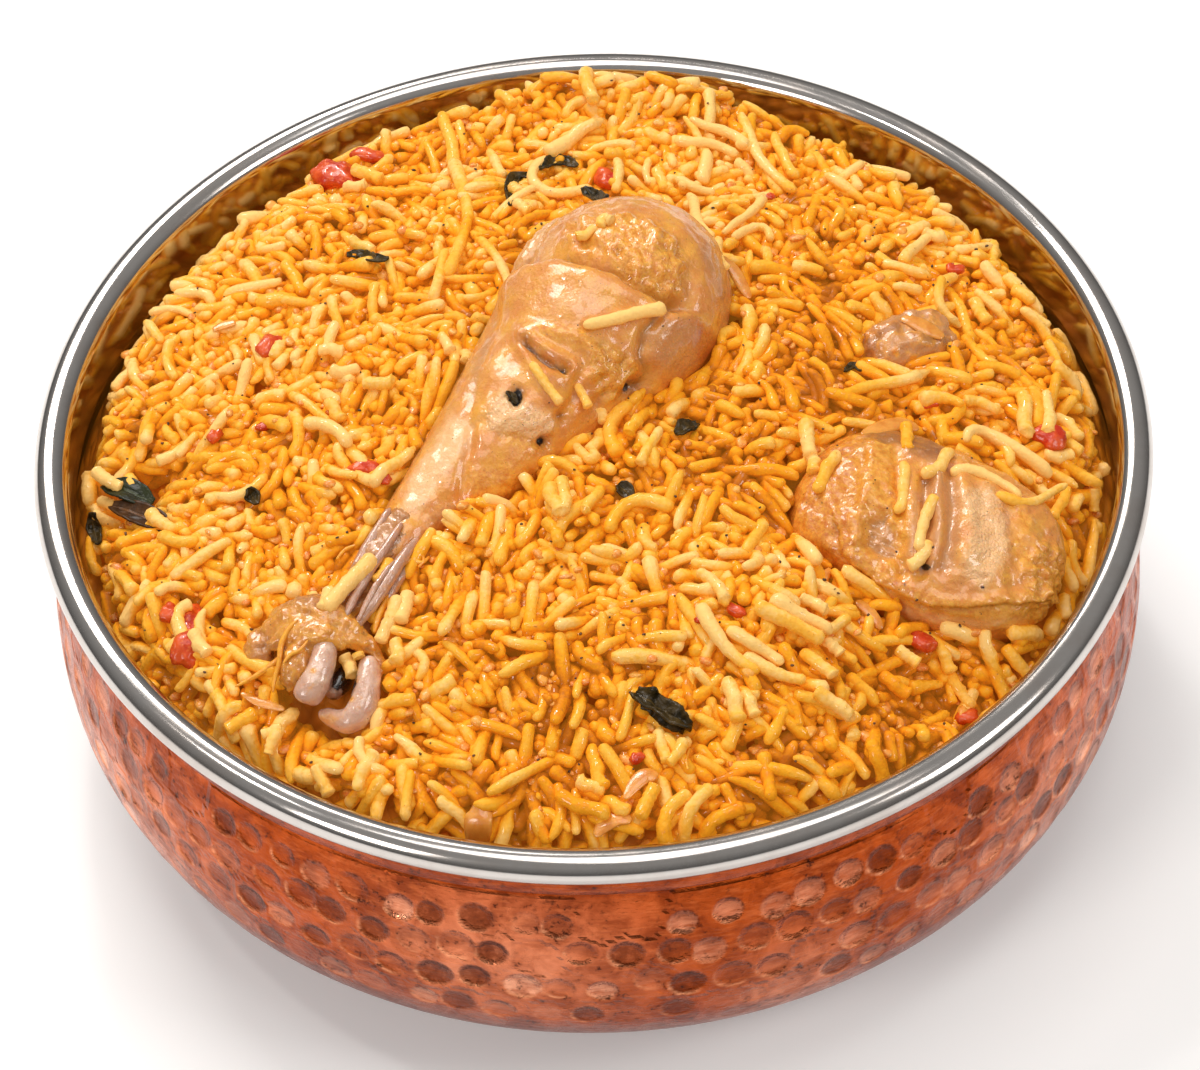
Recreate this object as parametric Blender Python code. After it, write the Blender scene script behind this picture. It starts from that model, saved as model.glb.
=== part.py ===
"""Chicken biryani in a copper-clad steel handi.

A spun steel liner with a rolled rim sits in a copper jacket. A domed heap of rice fills it,
and in the heap lie a drumstick with its bone's knuckle, a thigh, a smaller piece of chicken,
two pieces of tomato and three leaves. The origin is the centre of the bowl's flat foot.
"""
import math

import bmesh
import bpy
from mathutils import Matrix, Vector, noise
from mathutils.bvhtree import BVHTree

# Bowl, metres
BOWL_HEIGHT = 0.062
RIM_RADIUS = 0.090
ROLL_WIDTH = 0.0055
ROLL_HEIGHT = 0.0052
NECK_RADIUS = 0.0865
NECK_HEIGHT = 0.051
BELLY_RADIUS = 0.0905
BELLY_HEIGHT = 0.028
FOOT_RADIUS = 0.049
BELLY_FULLNESS = 2.3
BASE_FULLNESS = 2.2
COLLAR_RADIUS = 0.0873
COLLAR_TOP = 0.0563
SHEET = 0.0008
GAP = 0.0003
BOWL_SIDES = 44

# Rice heap: heights are above the rim's top
CROWN = 0.0065
SHOULDER = -0.004
SHOULDER_RADIUS = 0.080
EDGE_LEVEL = -0.0105
EDGE_RADIUS = 0.0842
LUMP_HEIGHT = 0.0011
LUMP_SIZE = 0.011
HEAP_RINGS = 11
HEAP_BOTTOM_STRIDE = 2

# Each swell is a place on the heap, a height and how far it spreads in X and Y
SWELLS = {
    "back rise": (0.008, 0.076, 0.0065, 0.024, 0.009),
    "ledge left of the thigh": (0.024, -0.045, 0.0035, 0.010, 0.010),
    "hollow before the thigh": (0.053, -0.054, -0.0115, 0.011, 0.008),
    "hollow left of the thigh": (0.034, -0.026, -0.0060, 0.004, 0.007),
    "hollow right of the thigh": (0.077, -0.030, -0.0050, 0.005, 0.012),
    "hollow at the knuckle": (-0.044, -0.058, -0.0035, 0.009, 0.007),
    "hollow at the left leaves": (-0.0745, -0.009, -0.0085, 0.007, 0.009),
}

# Stations along each piece of chicken: centre (x, y, z) and half width
DRUMSTICK_STATIONS = [
    (-0.0405, -0.0510, 0.0610, 0.0015),
    (-0.0396, -0.0483, 0.0612, 0.0072),
    (-0.0375, -0.0425, 0.0616, 0.0072),
    (-0.0341, -0.0342, 0.0624, 0.0041),
    (-0.0314, -0.0283, 0.0630, 0.0040),
    (-0.0267, -0.0207, 0.0637, 0.0060),
    (-0.0195, -0.0127, 0.0645, 0.0090),
    (-0.0106, -0.0020, 0.0654, 0.0127),
    (-0.0014, 0.0101, 0.0660, 0.0166),
    (0.0052, 0.0205, 0.0664, 0.0182),
    (0.0094, 0.0290, 0.0664, 0.0160),
    (0.0122, 0.0352, 0.0662, 0.0105),
    (0.0132, 0.0375, 0.0661, 0.0030),
]
DRUMSTICK_FLATNESS = 0.82
DRUMSTICK_RINGS = 24
DRUMSTICK_SIDES = 14

KNUCKLE_CENTRE = Vector((-0.0415, -0.0550, 0.0605))
KNUCKLE_TURN = math.radians(-15)
CONDYLE_SPREAD = 0.0064
CONDYLE_RADII = (0.0036, 0.0060, 0.0052)

THIGH_CENTRE = Vector((0.0515, -0.0262, 0.0585))
THIGH_RADII = (0.0218, 0.0158, 0.0098)
THIGH_TURN = math.radians(-29)
THIGH_DIP = math.radians(7)

SMALL_PIECE_CENTRE = Vector((0.0520, 0.0120, 0.0628))
SMALL_PIECE_RADII = (0.0080, 0.0055, 0.0042)
SMALL_PIECE_TURN = math.radians(20)

# Each tomato piece: centre, half sizes and turn
TOMATOES = {
    "tomato_back": (Vector((-0.0430, 0.0618, 0.0590)), (0.0044, 0.0034, 0.0034), 0.2),
    "tomato_left": (Vector((-0.0637, -0.0350, 0.0560)), (0.0032, 0.0054, 0.0034), 0.1),
}

# Each leaf: middle of the blade, length, width, turn, and how much it curls up along its middle
LEAVES = {
    "leaf_left_green": (-0.0755, -0.0045, 0.0130, 0.0060, math.radians(-32), 0.0008),
    "leaf_left_brown": (-0.0710, -0.0128, 0.0130, 0.0042, math.radians(-28), 0.0010),
    "leaf_front": (0.0090, -0.0610, 0.0100, 0.0050, math.radians(-42), 0.0015),
}
LEAF_THICKNESS = 0.0004

STEEL = ((0.62, 0.60, 0.58), 0.22, 1.0)
COPPER = ((0.72, 0.30, 0.17), 0.32, 1.0)
RICE = ((0.86, 0.57, 0.20), 0.45, 0.0)
CHICKEN = ((0.72, 0.42, 0.20), 0.35, 0.0)
BONE = ((0.62, 0.47, 0.42), 0.25, 0.0)
TOMATO = ((0.66, 0.07, 0.02), 0.20, 0.0)
LEAF_GREEN = ((0.03, 0.06, 0.03), 0.35, 0.0)
LEAF_BROWN = ((0.10, 0.05, 0.02), 0.35, 0.0)


def clear_scene():
    for item in list(bpy.data.objects):
        bpy.data.objects.remove(item, do_unlink=True)


def finish(name):
    """A Principled material with a colour, a roughness and a metallic value."""
    settings = {
        "steel": STEEL,
        "copper": COPPER,
        "rice": RICE,
        "chicken": CHICKEN,
        "bone": BONE,
        "tomato": TOMATO,
        "leaf_green": LEAF_GREEN,
        "leaf_brown": LEAF_BROWN,
    }
    material = bpy.data.materials.get(name)
    if material is None:
        colour, roughness, metallic = settings[name]
        material = bpy.data.materials.new(name)
        material.use_nodes = True
        shader = material.node_tree.nodes["Principled BSDF"]
        shader.inputs["Base Color"].default_value = (*colour, 1.0)
        shader.inputs["Roughness"].default_value = roughness
        shader.inputs["Metallic"].default_value = metallic
        material.diffuse_color = (*colour, 1.0)
    return material


def make_object(name, bm, finish_name):
    bmesh.ops.recalc_face_normals(bm, faces=bm.faces)
    mesh = bpy.data.meshes.new(name)
    bm.to_mesh(mesh)
    bm.free()
    mesh.shade_smooth()
    mesh.set_sharp_from_angle(angle=math.radians(50))
    mesh.materials.append(finish(finish_name))
    item = bpy.data.objects.new(name, mesh)
    bpy.context.scene.collection.objects.link(item)
    return item


def between(low, high, steps):
    return [low + (high - low) * step / steps for step in range(steps + 1)]


# Bowl

def body_profile(inset):
    """The bowl's side from its flat bottom up to the neck, moved inwards by inset."""
    points = [Vector((FOOT_RADIUS, 0.0))]
    for turn in between(0.0, math.pi / 2, 5)[1:]:
        rise = 1.0 - math.cos(turn) ** (2 / BASE_FULLNESS)
        reach = math.sin(turn) ** (2 / BELLY_FULLNESS)
        radius = FOOT_RADIUS + (BELLY_RADIUS - FOOT_RADIUS) * reach
        points.append(Vector((radius, BELLY_HEIGHT * rise)))
    for part in between(0.0, 1.0, 3)[1:]:
        height = BELLY_HEIGHT + (NECK_HEIGHT - BELLY_HEIGHT) * part
        points.append(Vector((BELLY_RADIUS - (BELLY_RADIUS - NECK_RADIUS) * part ** 2, height)))
    moved = []
    for index, point in enumerate(points):
        before = points[index - 1] if index else Vector((0.0, 0.0))
        after = points[min(index + 1, len(points) - 1)]
        along = (after - before).normalized()
        moved.append(point + Vector((-along.y, along.x)) * inset)
    moved[0].y = inset
    return moved


def revolve(name, profile, finish_name):
    """Turns an outline round Z. Outline ends on the axis close the solid there."""
    bm = bmesh.new()
    verts = [bm.verts.new((point[0], 0.0, point[1])) for point in profile]
    edges = [bm.edges.new(pair) for pair in zip(verts, verts[1:])]
    bmesh.ops.spin(bm, geom=verts + edges, cent=(0, 0, 0), axis=(0, 0, 1), angle=math.tau,
                   steps=BOWL_SIDES, use_merge=True)
    bmesh.ops.remove_doubles(bm, verts=bm.verts, dist=1e-7)
    return make_object(name, bm, finish_name)


def copper_jacket():
    outside = [(0.0, 0.0)] + [tuple(point) for point in body_profile(0.0)]
    groove_radius = NECK_RADIUS - 0.0002
    collar = [
        (groove_radius, NECK_HEIGHT + 0.0005),
        (COLLAR_RADIUS, NECK_HEIGHT + 0.0010),
        (COLLAR_RADIUS, COLLAR_TOP - 0.0005),
        (COLLAR_RADIUS - 0.0005, COLLAR_TOP),
        (NECK_RADIUS - SHEET, COLLAR_TOP),
    ]
    inside = [tuple(point) for point in reversed(body_profile(SHEET))] + [(0.0, SHEET)]
    return revolve("copper_jacket", outside + collar + inside, "copper")


def steel_liner():
    roll_centre = (RIM_RADIUS - ROLL_WIDTH / 2, BOWL_HEIGHT - ROLL_HEIGHT / 2)
    outer_inset = SHEET + GAP
    inner_inset = outer_inset + SHEET
    outside = [tuple(point) for point in body_profile(outer_inset)]
    roll = []
    for turn in between(math.radians(-125), math.radians(180), 10):
        roll.append((roll_centre[0] + ROLL_WIDTH / 2 * math.cos(turn),
                     roll_centre[1] + ROLL_HEIGHT / 2 * math.sin(turn)))
    inside = [tuple(point) for point in reversed(body_profile(inner_inset))]
    profile = [(0.0, outer_inset)] + outside + roll + inside + [(0.0, inner_inset)]
    return revolve("steel_liner", profile, "steel")


# Rice

def heap_height(x, y):
    """Height of the rice at a place in the bowl, above the foot."""
    radius = math.hypot(x, y)
    height = CROWN - (CROWN - SHOULDER) * (radius / SHOULDER_RADIUS) ** 2
    for swell_x, swell_y, rise, spread_x, spread_y in SWELLS.values():
        away = ((x - swell_x) / spread_x) ** 2 + ((y - swell_y) / spread_y) ** 2
        height += rise * math.exp(-away)
    height += LUMP_HEIGHT * noise.noise(Vector((x, y, 0.0)) / LUMP_SIZE)
    edge = min(1.0, max(0.0, (radius - SHOULDER_RADIUS) / (EDGE_RADIUS - SHOULDER_RADIUS)))
    edge = edge * edge * (3 - 2 * edge)
    return BOWL_HEIGHT + height + (EDGE_LEVEL - height) * edge


def heap_rings():
    """Rings of the heap from its crown outwards, and down the liner to the middle of the base."""
    rings = []
    for part in between(0.0, 1.0, HEAP_RINGS)[1:]:
        radius = EDGE_RADIUS * math.sin(part * math.pi / 2) ** 0.9
        ring = []
        for side in range(BOWL_SIDES):
            turn = math.tau * side / BOWL_SIDES
            x, y = radius * math.cos(turn), radius * math.sin(turn)
            ring.append((x, y, heap_height(x, y)))
        rings.append(ring)
    wall = body_profile(2 * SHEET + 2 * GAP + 0.0001)
    wall = [point for point in wall if point.y < BOWL_HEIGHT + EDGE_LEVEL - 0.002]
    for point in reversed(wall[::HEAP_BOTTOM_STRIDE]):
        rings.append([(point.x * math.cos(math.tau * side / BOWL_SIDES),
                       point.x * math.sin(math.tau * side / BOWL_SIDES), point.y)
                      for side in range(BOWL_SIDES)])
    return rings


def rice_heap():
    bm = bmesh.new()
    crown = bm.verts.new((0.0, 0.0, heap_height(0.0, 0.0)))
    rings = [[bm.verts.new(place) for place in ring] for ring in heap_rings()]
    base = bm.verts.new((0.0, 0.0, rings[-1][0].co.z))
    for side in range(BOWL_SIDES):
        following = (side + 1) % BOWL_SIDES
        bm.faces.new((crown, rings[0][side], rings[0][following]))
        bm.faces.new((base, rings[-1][following], rings[-1][side]))
        for upper, lower in zip(rings, rings[1:]):
            bm.faces.new((upper[side], lower[side], lower[following], upper[following]))
    bmesh.ops.triangulate(bm, faces=bm.faces)
    return make_object("rice_heap", bm, "rice")


# Chicken

def smooth_through(stations, part):
    """A point on the smooth curve through the stations, from 0 at the first to 1 at the last."""
    place = part * (len(stations) - 1)
    index = min(int(place), len(stations) - 2)
    local = place - index
    picks = [stations[min(max(index + step, 0), len(stations) - 1)] for step in (-1, 0, 1, 2)]
    values = []
    for before, start, end, after in zip(*picks):
        values.append(0.5 * (2 * start + (end - before) * local
                             + (2 * before - 5 * start + 4 * end - after) * local ** 2
                             + (3 * start - before - 3 * end + after) * local ** 3))
    return values


def chicken_drumstick(name, swell=0.0):
    bm = bmesh.new()
    rings = []
    for part in between(0.0, 1.0, DRUMSTICK_RINGS):
        x, y, z, half_width = smooth_through(DRUMSTICK_STATIONS, part)
        ahead = Vector(smooth_through(DRUMSTICK_STATIONS, min(part + 0.01, 1.0))[:3])
        behind = Vector(smooth_through(DRUMSTICK_STATIONS, max(part - 0.01, 0.0))[:3])
        along = (ahead - behind).normalized()
        across = along.cross(Vector((0, 0, 1))).normalized()
        upward = across.cross(along)
        half_width = max(half_width, 0.0012) + swell
        centre = Vector((x, y, z))
        if part in (0.0, 1.0):
            centre += along * swell * (1 if part else -1)
        ring = []
        for side in range(DRUMSTICK_SIDES):
            turn = math.tau * side / DRUMSTICK_SIDES
            offset = across * math.cos(turn) + upward * math.sin(turn) * DRUMSTICK_FLATNESS
            ring.append(bm.verts.new(centre + offset * half_width))
        rings.append(ring)
    for ring, following in zip(rings, rings[1:]):
        for side in range(DRUMSTICK_SIDES):
            after = (side + 1) % DRUMSTICK_SIDES
            bm.faces.new((ring[side], following[side], following[after], ring[after]))
    bm.faces.new(rings[0])
    bm.faces.new(rings[-1])
    bmesh.ops.triangulate(bm, faces=bm.faces)
    return make_object(name, bm, "chicken")


def rounded_block(sides, rings, radii, squareness, unevenness, seed, swell):
    """A sphere pushed out towards a box, with slow uneven swells over it."""
    bm = bmesh.new()
    bmesh.ops.create_uvsphere(bm, u_segments=sides, v_segments=rings, radius=1.0)
    for vert in bm.verts:
        direction = vert.co.copy()
        reach = sum(abs(value) ** squareness for value in direction) ** (-1 / squareness)
        reach *= 1 + unevenness * noise.noise(direction * 1.3 + Vector((seed, 0, 0)))
        for axis in range(3):
            vert.co[axis] = direction[axis] * (radii[axis] * reach + swell)
    bmesh.ops.triangulate(bm, faces=bm.faces)
    return bm


def put(bm, centre, turn, dip=0.0):
    place = Matrix.Translation(centre) @ Matrix.Rotation(turn, 4, "Z") @ Matrix.Rotation(dip, 4, "Y")
    bmesh.ops.transform(bm, matrix=place, verts=bm.verts)


def chicken_thigh(name, swell=0.0):
    bm = rounded_block(20, 11, THIGH_RADII, 2.6, 0.10, 4.0, swell)
    put(bm, THIGH_CENTRE, THIGH_TURN, THIGH_DIP)
    return make_object(name, bm, "chicken")


def chicken_small_piece(name, swell=0.0):
    bm = rounded_block(12, 7, SMALL_PIECE_RADII, 2.4, 0.25, 9.0, swell)
    put(bm, SMALL_PIECE_CENTRE, SMALL_PIECE_TURN)
    return make_object(name, bm, "chicken")


def drumstick_bone(name, swell=0.0):
    """The shank bone's end: two condyles side by side, joined into one solid."""
    lobes = []
    for side in (-1, 1):
        bm = rounded_block(12, 7, CONDYLE_RADII, 2.0, 0.10, side, swell)
        put(bm, Vector((side * CONDYLE_SPREAD / 2, 0, 0)), side * math.radians(8))
        put(bm, KNUCKLE_CENTRE, KNUCKLE_TURN)
        lobes.append(make_object(name if side < 0 else "condyle_right", bm, "bone"))
    combine(lobes[0], lobes[1], "UNION")
    return lobes[0]


# Tomato and leaves

def tomato_piece(name, swell=0.0, kind=None):
    centre, radii, turn = TOMATOES[kind or name]
    bm = rounded_block(10, 6, radii, 2.8, 0.35, centre.x * 1000, swell)
    put(bm, centre, turn)
    return make_object(name, bm, "tomato")


def leaf(name, ground):
    """A pointed blade laid on the rice, with its sides curled up from the midrib."""
    x, y, length, width, turn, curl = LEAVES[name]
    bm = bmesh.new()
    long_steps, wide_steps = 7, 4
    rows = []
    for row in between(-1.0, 1.0, long_steps):
        half = width / 2 * (1 - abs(row) ** 2.2) ** 0.7 + 0.0004
        line = []
        for column in between(-1.0, 1.0, wide_steps):
            along, aside = row * length / 2, column * half
            place_x = x + along * math.cos(turn) - aside * math.sin(turn)
            place_y = y + along * math.sin(turn) + aside * math.cos(turn)
            hit = ground.ray_cast(Vector((place_x, place_y, 1.0)), Vector((0, 0, -1)))[0]
            line.append(Vector((place_x, place_y, hit.z + curl * (column ** 2 + 0.3 * row ** 2))))
        rows.append(line)
    lift = 4 * GAP
    verts = []
    for line in rows:
        verts.append([bm.verts.new(place + Vector((0, 0, lift))) for place in line])
    for line, following in zip(verts, verts[1:]):
        for index in range(wide_steps):
            bm.faces.new((line[index], line[index + 1], following[index + 1], following[index]))
    item = make_object(name, bm, "leaf_green" if name != "leaf_left_brown" else "leaf_brown")
    solid = item.modifiers.new("Thickness", "SOLIDIFY")
    solid.thickness = LEAF_THICKNESS
    solid.offset = 0.0
    return item


# Cutting

def combine(item, other, operation):
    """Applies a Boolean of other to item at once, and removes other."""
    modifier = item.modifiers.new("Boolean", "BOOLEAN")
    modifier.operation = operation
    modifier.solver = "EXACT"
    modifier.object = other
    graph = bpy.context.evaluated_depsgraph_get()
    result = bpy.data.meshes.new_from_object(item.evaluated_get(graph))
    item.modifiers.clear()
    item.data = result
    bpy.data.objects.remove(other, do_unlink=True)


def main():
    clear_scene()
    copper_jacket()
    steel_liner()
    heap = rice_heap()
    bm = bmesh.new()
    bm.from_mesh(heap.data)
    ground = BVHTree.FromBMesh(bm)
    bm.free()

    clearance = GAP * 1.3
    bone = drumstick_bone("drumstick_bone")
    combine(bone, chicken_drumstick("cutter", clearance), "DIFFERENCE")
    chicken_drumstick("chicken_drumstick")
    chicken_thigh("chicken_thigh")
    chicken_small_piece("chicken_small_piece")
    room = chicken_drumstick("room", clearance)
    combine(room, drumstick_bone("cutter", clearance), "UNION")
    combine(heap, room, "DIFFERENCE")
    combine(heap, chicken_thigh("cutter", clearance), "DIFFERENCE")
    combine(heap, chicken_small_piece("cutter", clearance), "DIFFERENCE")
    for name in TOMATOES:
        tomato_piece(name)
        combine(heap, tomato_piece("cutter", clearance, name), "DIFFERENCE")
    for name in LEAVES:
        leaf(name, ground)


main()
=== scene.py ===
"""Looks of the chicken biryani in its copper-clad steel handi.

The bowl is turned and hammered, the heap is laid grain by grain over a core, and the chicken,
bone, tomato, leaves and onion are modelled one by one. Shapes are worked out in millimetres
from the centre of the bowl's foot and written into the meshes in metres.
"""
import math

import bmesh
import bpy
import numpy as np
from mathutils import Matrix, Vector, noise
from mathutils.bvhtree import BVHTree


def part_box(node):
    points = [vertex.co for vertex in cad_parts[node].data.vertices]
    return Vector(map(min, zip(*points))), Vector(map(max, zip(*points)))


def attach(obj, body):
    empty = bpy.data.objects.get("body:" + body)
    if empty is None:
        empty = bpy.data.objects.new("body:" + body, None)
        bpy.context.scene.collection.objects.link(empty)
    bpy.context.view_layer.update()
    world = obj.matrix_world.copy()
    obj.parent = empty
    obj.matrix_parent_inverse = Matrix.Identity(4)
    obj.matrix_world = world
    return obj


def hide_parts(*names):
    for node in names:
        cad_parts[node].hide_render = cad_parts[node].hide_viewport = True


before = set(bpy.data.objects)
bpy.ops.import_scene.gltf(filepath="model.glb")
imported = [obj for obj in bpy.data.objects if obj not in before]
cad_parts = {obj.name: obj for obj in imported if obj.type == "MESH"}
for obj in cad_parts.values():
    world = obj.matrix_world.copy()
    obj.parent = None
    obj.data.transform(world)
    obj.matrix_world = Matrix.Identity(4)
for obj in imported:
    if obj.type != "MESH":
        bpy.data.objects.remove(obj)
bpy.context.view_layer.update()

MM = 0.001
RIM_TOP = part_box("steel_liner")[1][2] / MM
RIM_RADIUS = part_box("steel_liner")[1][0] / MM
BELLY_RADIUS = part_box("copper_jacket")[1][0] / MM

SHARE = 1.0   # the share of the scattered food that is made

# The view
VIEW_ELEVATION = math.radians(48.8)
VIEW_ROLL = math.radians(-2.45)
VIEW_DISTANCE = 550.0
VIEW_ASIDE = -1.4
VIEW_ABOVE = 19.35
VIEW_LENS = 102.42
SENSOR = 36.0

# The bowl's outline
NECK_RADIUS = 86.5
NECK_HEIGHT = 51.0
BELLY_HEIGHT = 28.0
FOOT_RADIUS = 49.0
BELLY_FULLNESS = 2.3
BASE_FULLNESS = 2.2
SHEET = 0.8
GAP = 0.3
ROLL_WIDTH = 5.5
ROLL_HEIGHT = 5.2
COLLAR_RADIUS = 87.3
COLLAR_TOP = 56.3


# --- helpers

def rng(seed):
    return np.random.RandomState(seed)


def deselect():
    bpy.ops.object.select_all(action="DESELECT")


def beads(tenths, size):
    """Rows of measures in millimetres: the first row is given in tenths, and each later one as steps from the last."""
    return np.cumsum(np.reshape(np.array(tenths, float), (-1, size)), 0) / 10


def edit():
    bpy.ops.object.mode_set(mode="EDIT")
    bpy.ops.mesh.select_all(action="SELECT")


def done_editing():
    bpy.ops.object.mode_set(mode="OBJECT")


def modified(piece, name, kind, **settings):
    """Adds a modifier to the active piece and applies it."""
    modifier = piece.modifiers.new(name, kind)
    for setting, value in settings.items():
        setattr(modifier, setting, value)
    bpy.ops.object.modifier_apply(modifier=name)


def trace(*tenths):
    """A line or outline of places on the chart, given as beads."""
    return beads(tenths, 2)


def fade(value, low, high):
    """A smooth rise from 0 at low to 1 at high."""
    part = np.clip((value - low) / (high - low), 0.0, 1.0)
    return part * part * (3 - 2 * part)


def ridge(away, width):
    """A mark that is 1 on a line and fades to 0 over about its width."""
    return np.exp(-(away / width) ** 2)


def most(marks):
    """The strongest of several marks at each point."""
    return np.maximum.reduce(marks)


def places(piece):
    """A piece's points in millimetres."""
    co = np.empty(len(piece.data.vertices) * 3, dtype=np.float32)
    piece.data.vertices.foreach_get("co", co)
    return co.reshape(-1, 3).astype(float) / MM


def put_places(piece, points):
    piece.data.vertices.foreach_set("co", (np.asarray(points) * MM).astype(np.float32).ravel())
    piece.data.update()


def mesh_piece(name, points, quads):
    """A piece from arrays: points in millimetres, and faces as rows of point numbers."""
    mesh = bpy.data.meshes.new(name)
    mesh.from_pydata((np.asarray(points) * MM).tolist(), [], [list(q) for q in quads])
    mesh.update()
    piece = bpy.data.objects.new(name, mesh)
    bpy.context.scene.collection.objects.link(piece)
    mesh.shade_smooth()
    return piece


def swell(piece, points, out, heights):
    """Moves a piece's points outwards by heights and writes them back."""
    points = points + out * heights[:, None]
    put_places(piece, points)
    return points


def pattern_of(piece):
    """Takes a piece's points and faces, and clears the piece away."""
    mesh = piece.data
    points = np.array([vert.co[:] for vert in mesh.vertices])
    faces = [tuple(face.vertices) for face in mesh.polygons]
    bpy.data.objects.remove(piece)
    bpy.data.meshes.remove(mesh)
    return points, faces


def mark(piece, name, values):
    attribute = piece.data.attributes.new(name, "FLOAT", "POINT")
    attribute.data.foreach_set("value", np.asarray(values, dtype=np.float32))


def right_way_out(piece):
    """Turns a closed piece's faces outwards."""
    check = bmesh.new()
    check.from_mesh(piece.data)
    if check.calc_volume(signed=True) < 0:
        bmesh.ops.reverse_faces(check, faces=check.faces)
        check.to_mesh(piece.data)
    check.free()
    piece.data.update()


def settle(piece, material, slot, *nodes):
    """Gives a finished piece its material and body, and hides the imported nodes that it stands for; the slot is not
    used.
    """
    piece.data.materials.clear()
    piece.data.materials.append(material)
    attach(piece, "root")
    if nodes:
        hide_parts(*nodes)


# --- finishes

class Nodes:
    """Short calls that add nodes to a tree and link them."""

    def __init__(self, tree):
        self.tree = tree
        self.coords = self.node("TexCoord").outputs["Object"]

    def link(self, start, end):
        self.tree.links.new(start, end)

    def feed(self, socket, value):
        if isinstance(value, bpy.types.NodeSocket):
            self.link(value, socket)
        elif isinstance(value, (tuple, list)) and len(value) == 3 and socket.type == "RGBA":
            socket.default_value = (*value, 1.0)
        else:
            socket.default_value = value

    def node(self, kind, **inputs):
        """Adds a node and feeds its inputs by name."""
        node = self.tree.nodes.new("ShaderNode" + kind)
        for name, value in inputs.items():
            self.feed(node.inputs[name.replace("_", " ")], value)
        return node

    def attribute(self, name):
        node = self.node("Attribute")
        node.attribute_name = name
        return node.outputs["Fac"]

    def texture(self, kind, size, stretch, **inputs):
        """A texture whose lumps are about size millimetres across."""
        place = self.coords
        if stretch:
            place = self.node("Mapping", Vector=place, Scale=stretch).outputs["Vector"]
        return self.node(kind, Scale=1.0 / (size * MM), Vector=place, **inputs).outputs

    def noise(self, size, detail=3.0, roughness=0.55, stretch=None, distortion=0.0):
        return self.texture("TexNoise", size, stretch, Detail=detail, Roughness=roughness, Distortion=distortion)["Fac"]

    def cells(self, size, stretch=None):
        return self.texture("TexVoronoi", size, stretch)["Distance"]

    def ramp(self, value, *stops):
        """Maps a value to a colour: stops are (place, colour)."""
        node = self.node("ValToRGB", Fac=value)
        elements = node.color_ramp.elements
        elements.remove(elements[-1])
        for index, (place, colour) in enumerate(stops):
            element = elements.new(place) if index else elements[0]
            element.position = place
            element.color = (*colour, 1.0)
        return node.outputs["Color"]

    def mix(self, part, first, second):
        node = self.node("Mix")
        node.data_type = "RGBA"
        for index, item in ((0, part), (6, first), (7, second)):
            self.feed(node.inputs[index], item)
        return node.outputs[2]

    def math(self, operation, *values, clamp=False):
        """Works through the values in turn with one kind of sum."""
        result = values[0]
        for value in values[1:]:
            node = self.node("Math")
            node.operation = operation
            node.use_clamp = clamp
            self.feed(node.inputs[0], result)
            self.feed(node.inputs[1], value)
            result = node.outputs[0]
        return result

    def times(self, *values):
        return self.math("MULTIPLY", *values)

    def plus(self, *values, clamp=False):
        return self.math("ADD", *values, clamp=clamp)

    def less(self, *values):
        return self.math("SUBTRACT", *values)

    def remap(self, value, low, high, to_low=0.0, to_high=1.0):
        return self.node("MapRange", Value=value, From_Min=low, From_Max=high, To_Min=to_low, To_Max=to_high).outputs[0]

    def bump(self, height, depth_mm, strength=1.0, after=None):
        node = self.node("Bump", Strength=strength, Distance=depth_mm * MM, Height=height)
        if after is not None:
            self.link(after, node.inputs["Normal"])
        return node.outputs["Normal"]

    def call(self, tree, **inputs):
        """Uses a shared node group and gives its outputs."""
        node = self.tree.nodes.new("ShaderNodeGroup")
        node.node_tree = tree
        for name, value in inputs.items():
            self.feed(node.inputs[name.replace("_", " ")], value)
        return node.outputs


class Finish(Nodes):
    """A material under construction."""

    def __init__(self, name):
        self.material = bpy.data.materials.new(name)
        self.material.use_nodes = True
        tree = self.material.node_tree
        tree.nodes.clear()
        super().__init__(tree)
        out = tree.nodes.new("ShaderNodeOutputMaterial")
        self.shader = tree.nodes.new("ShaderNodeBsdfPrincipled")
        self.link(self.shader.outputs[0], out.inputs["Surface"])

    def set(self, **values):
        for name, value in values.items():
            self.feed(self.shader.inputs[name.replace("_", " ")], value)
        return self


class Group(Nodes):
    """A node group shared by several materials."""

    def __init__(self, name, number, *colours):
        super().__init__(bpy.data.node_groups.new(name, "ShaderNodeTree"))
        self.tree.interface.new_socket(number, in_out="INPUT", socket_type="NodeSocketFloat")
        for label in colours:
            self.tree.interface.new_socket(label, in_out="INPUT", socket_type="NodeSocketColor")
        self.enter = self.tree.nodes.new("NodeGroupInput")
        self.leave = self.tree.nodes.new("NodeGroupOutput")

    def input(self, label):
        return self.enter.outputs[label]

    def output(self, label, socket, kind="NodeSocketFloat"):
        self.tree.interface.new_socket(label, in_out="OUTPUT", socket_type=kind)
        self.link(socket, self.leave.inputs[label])

# --- bowl

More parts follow.
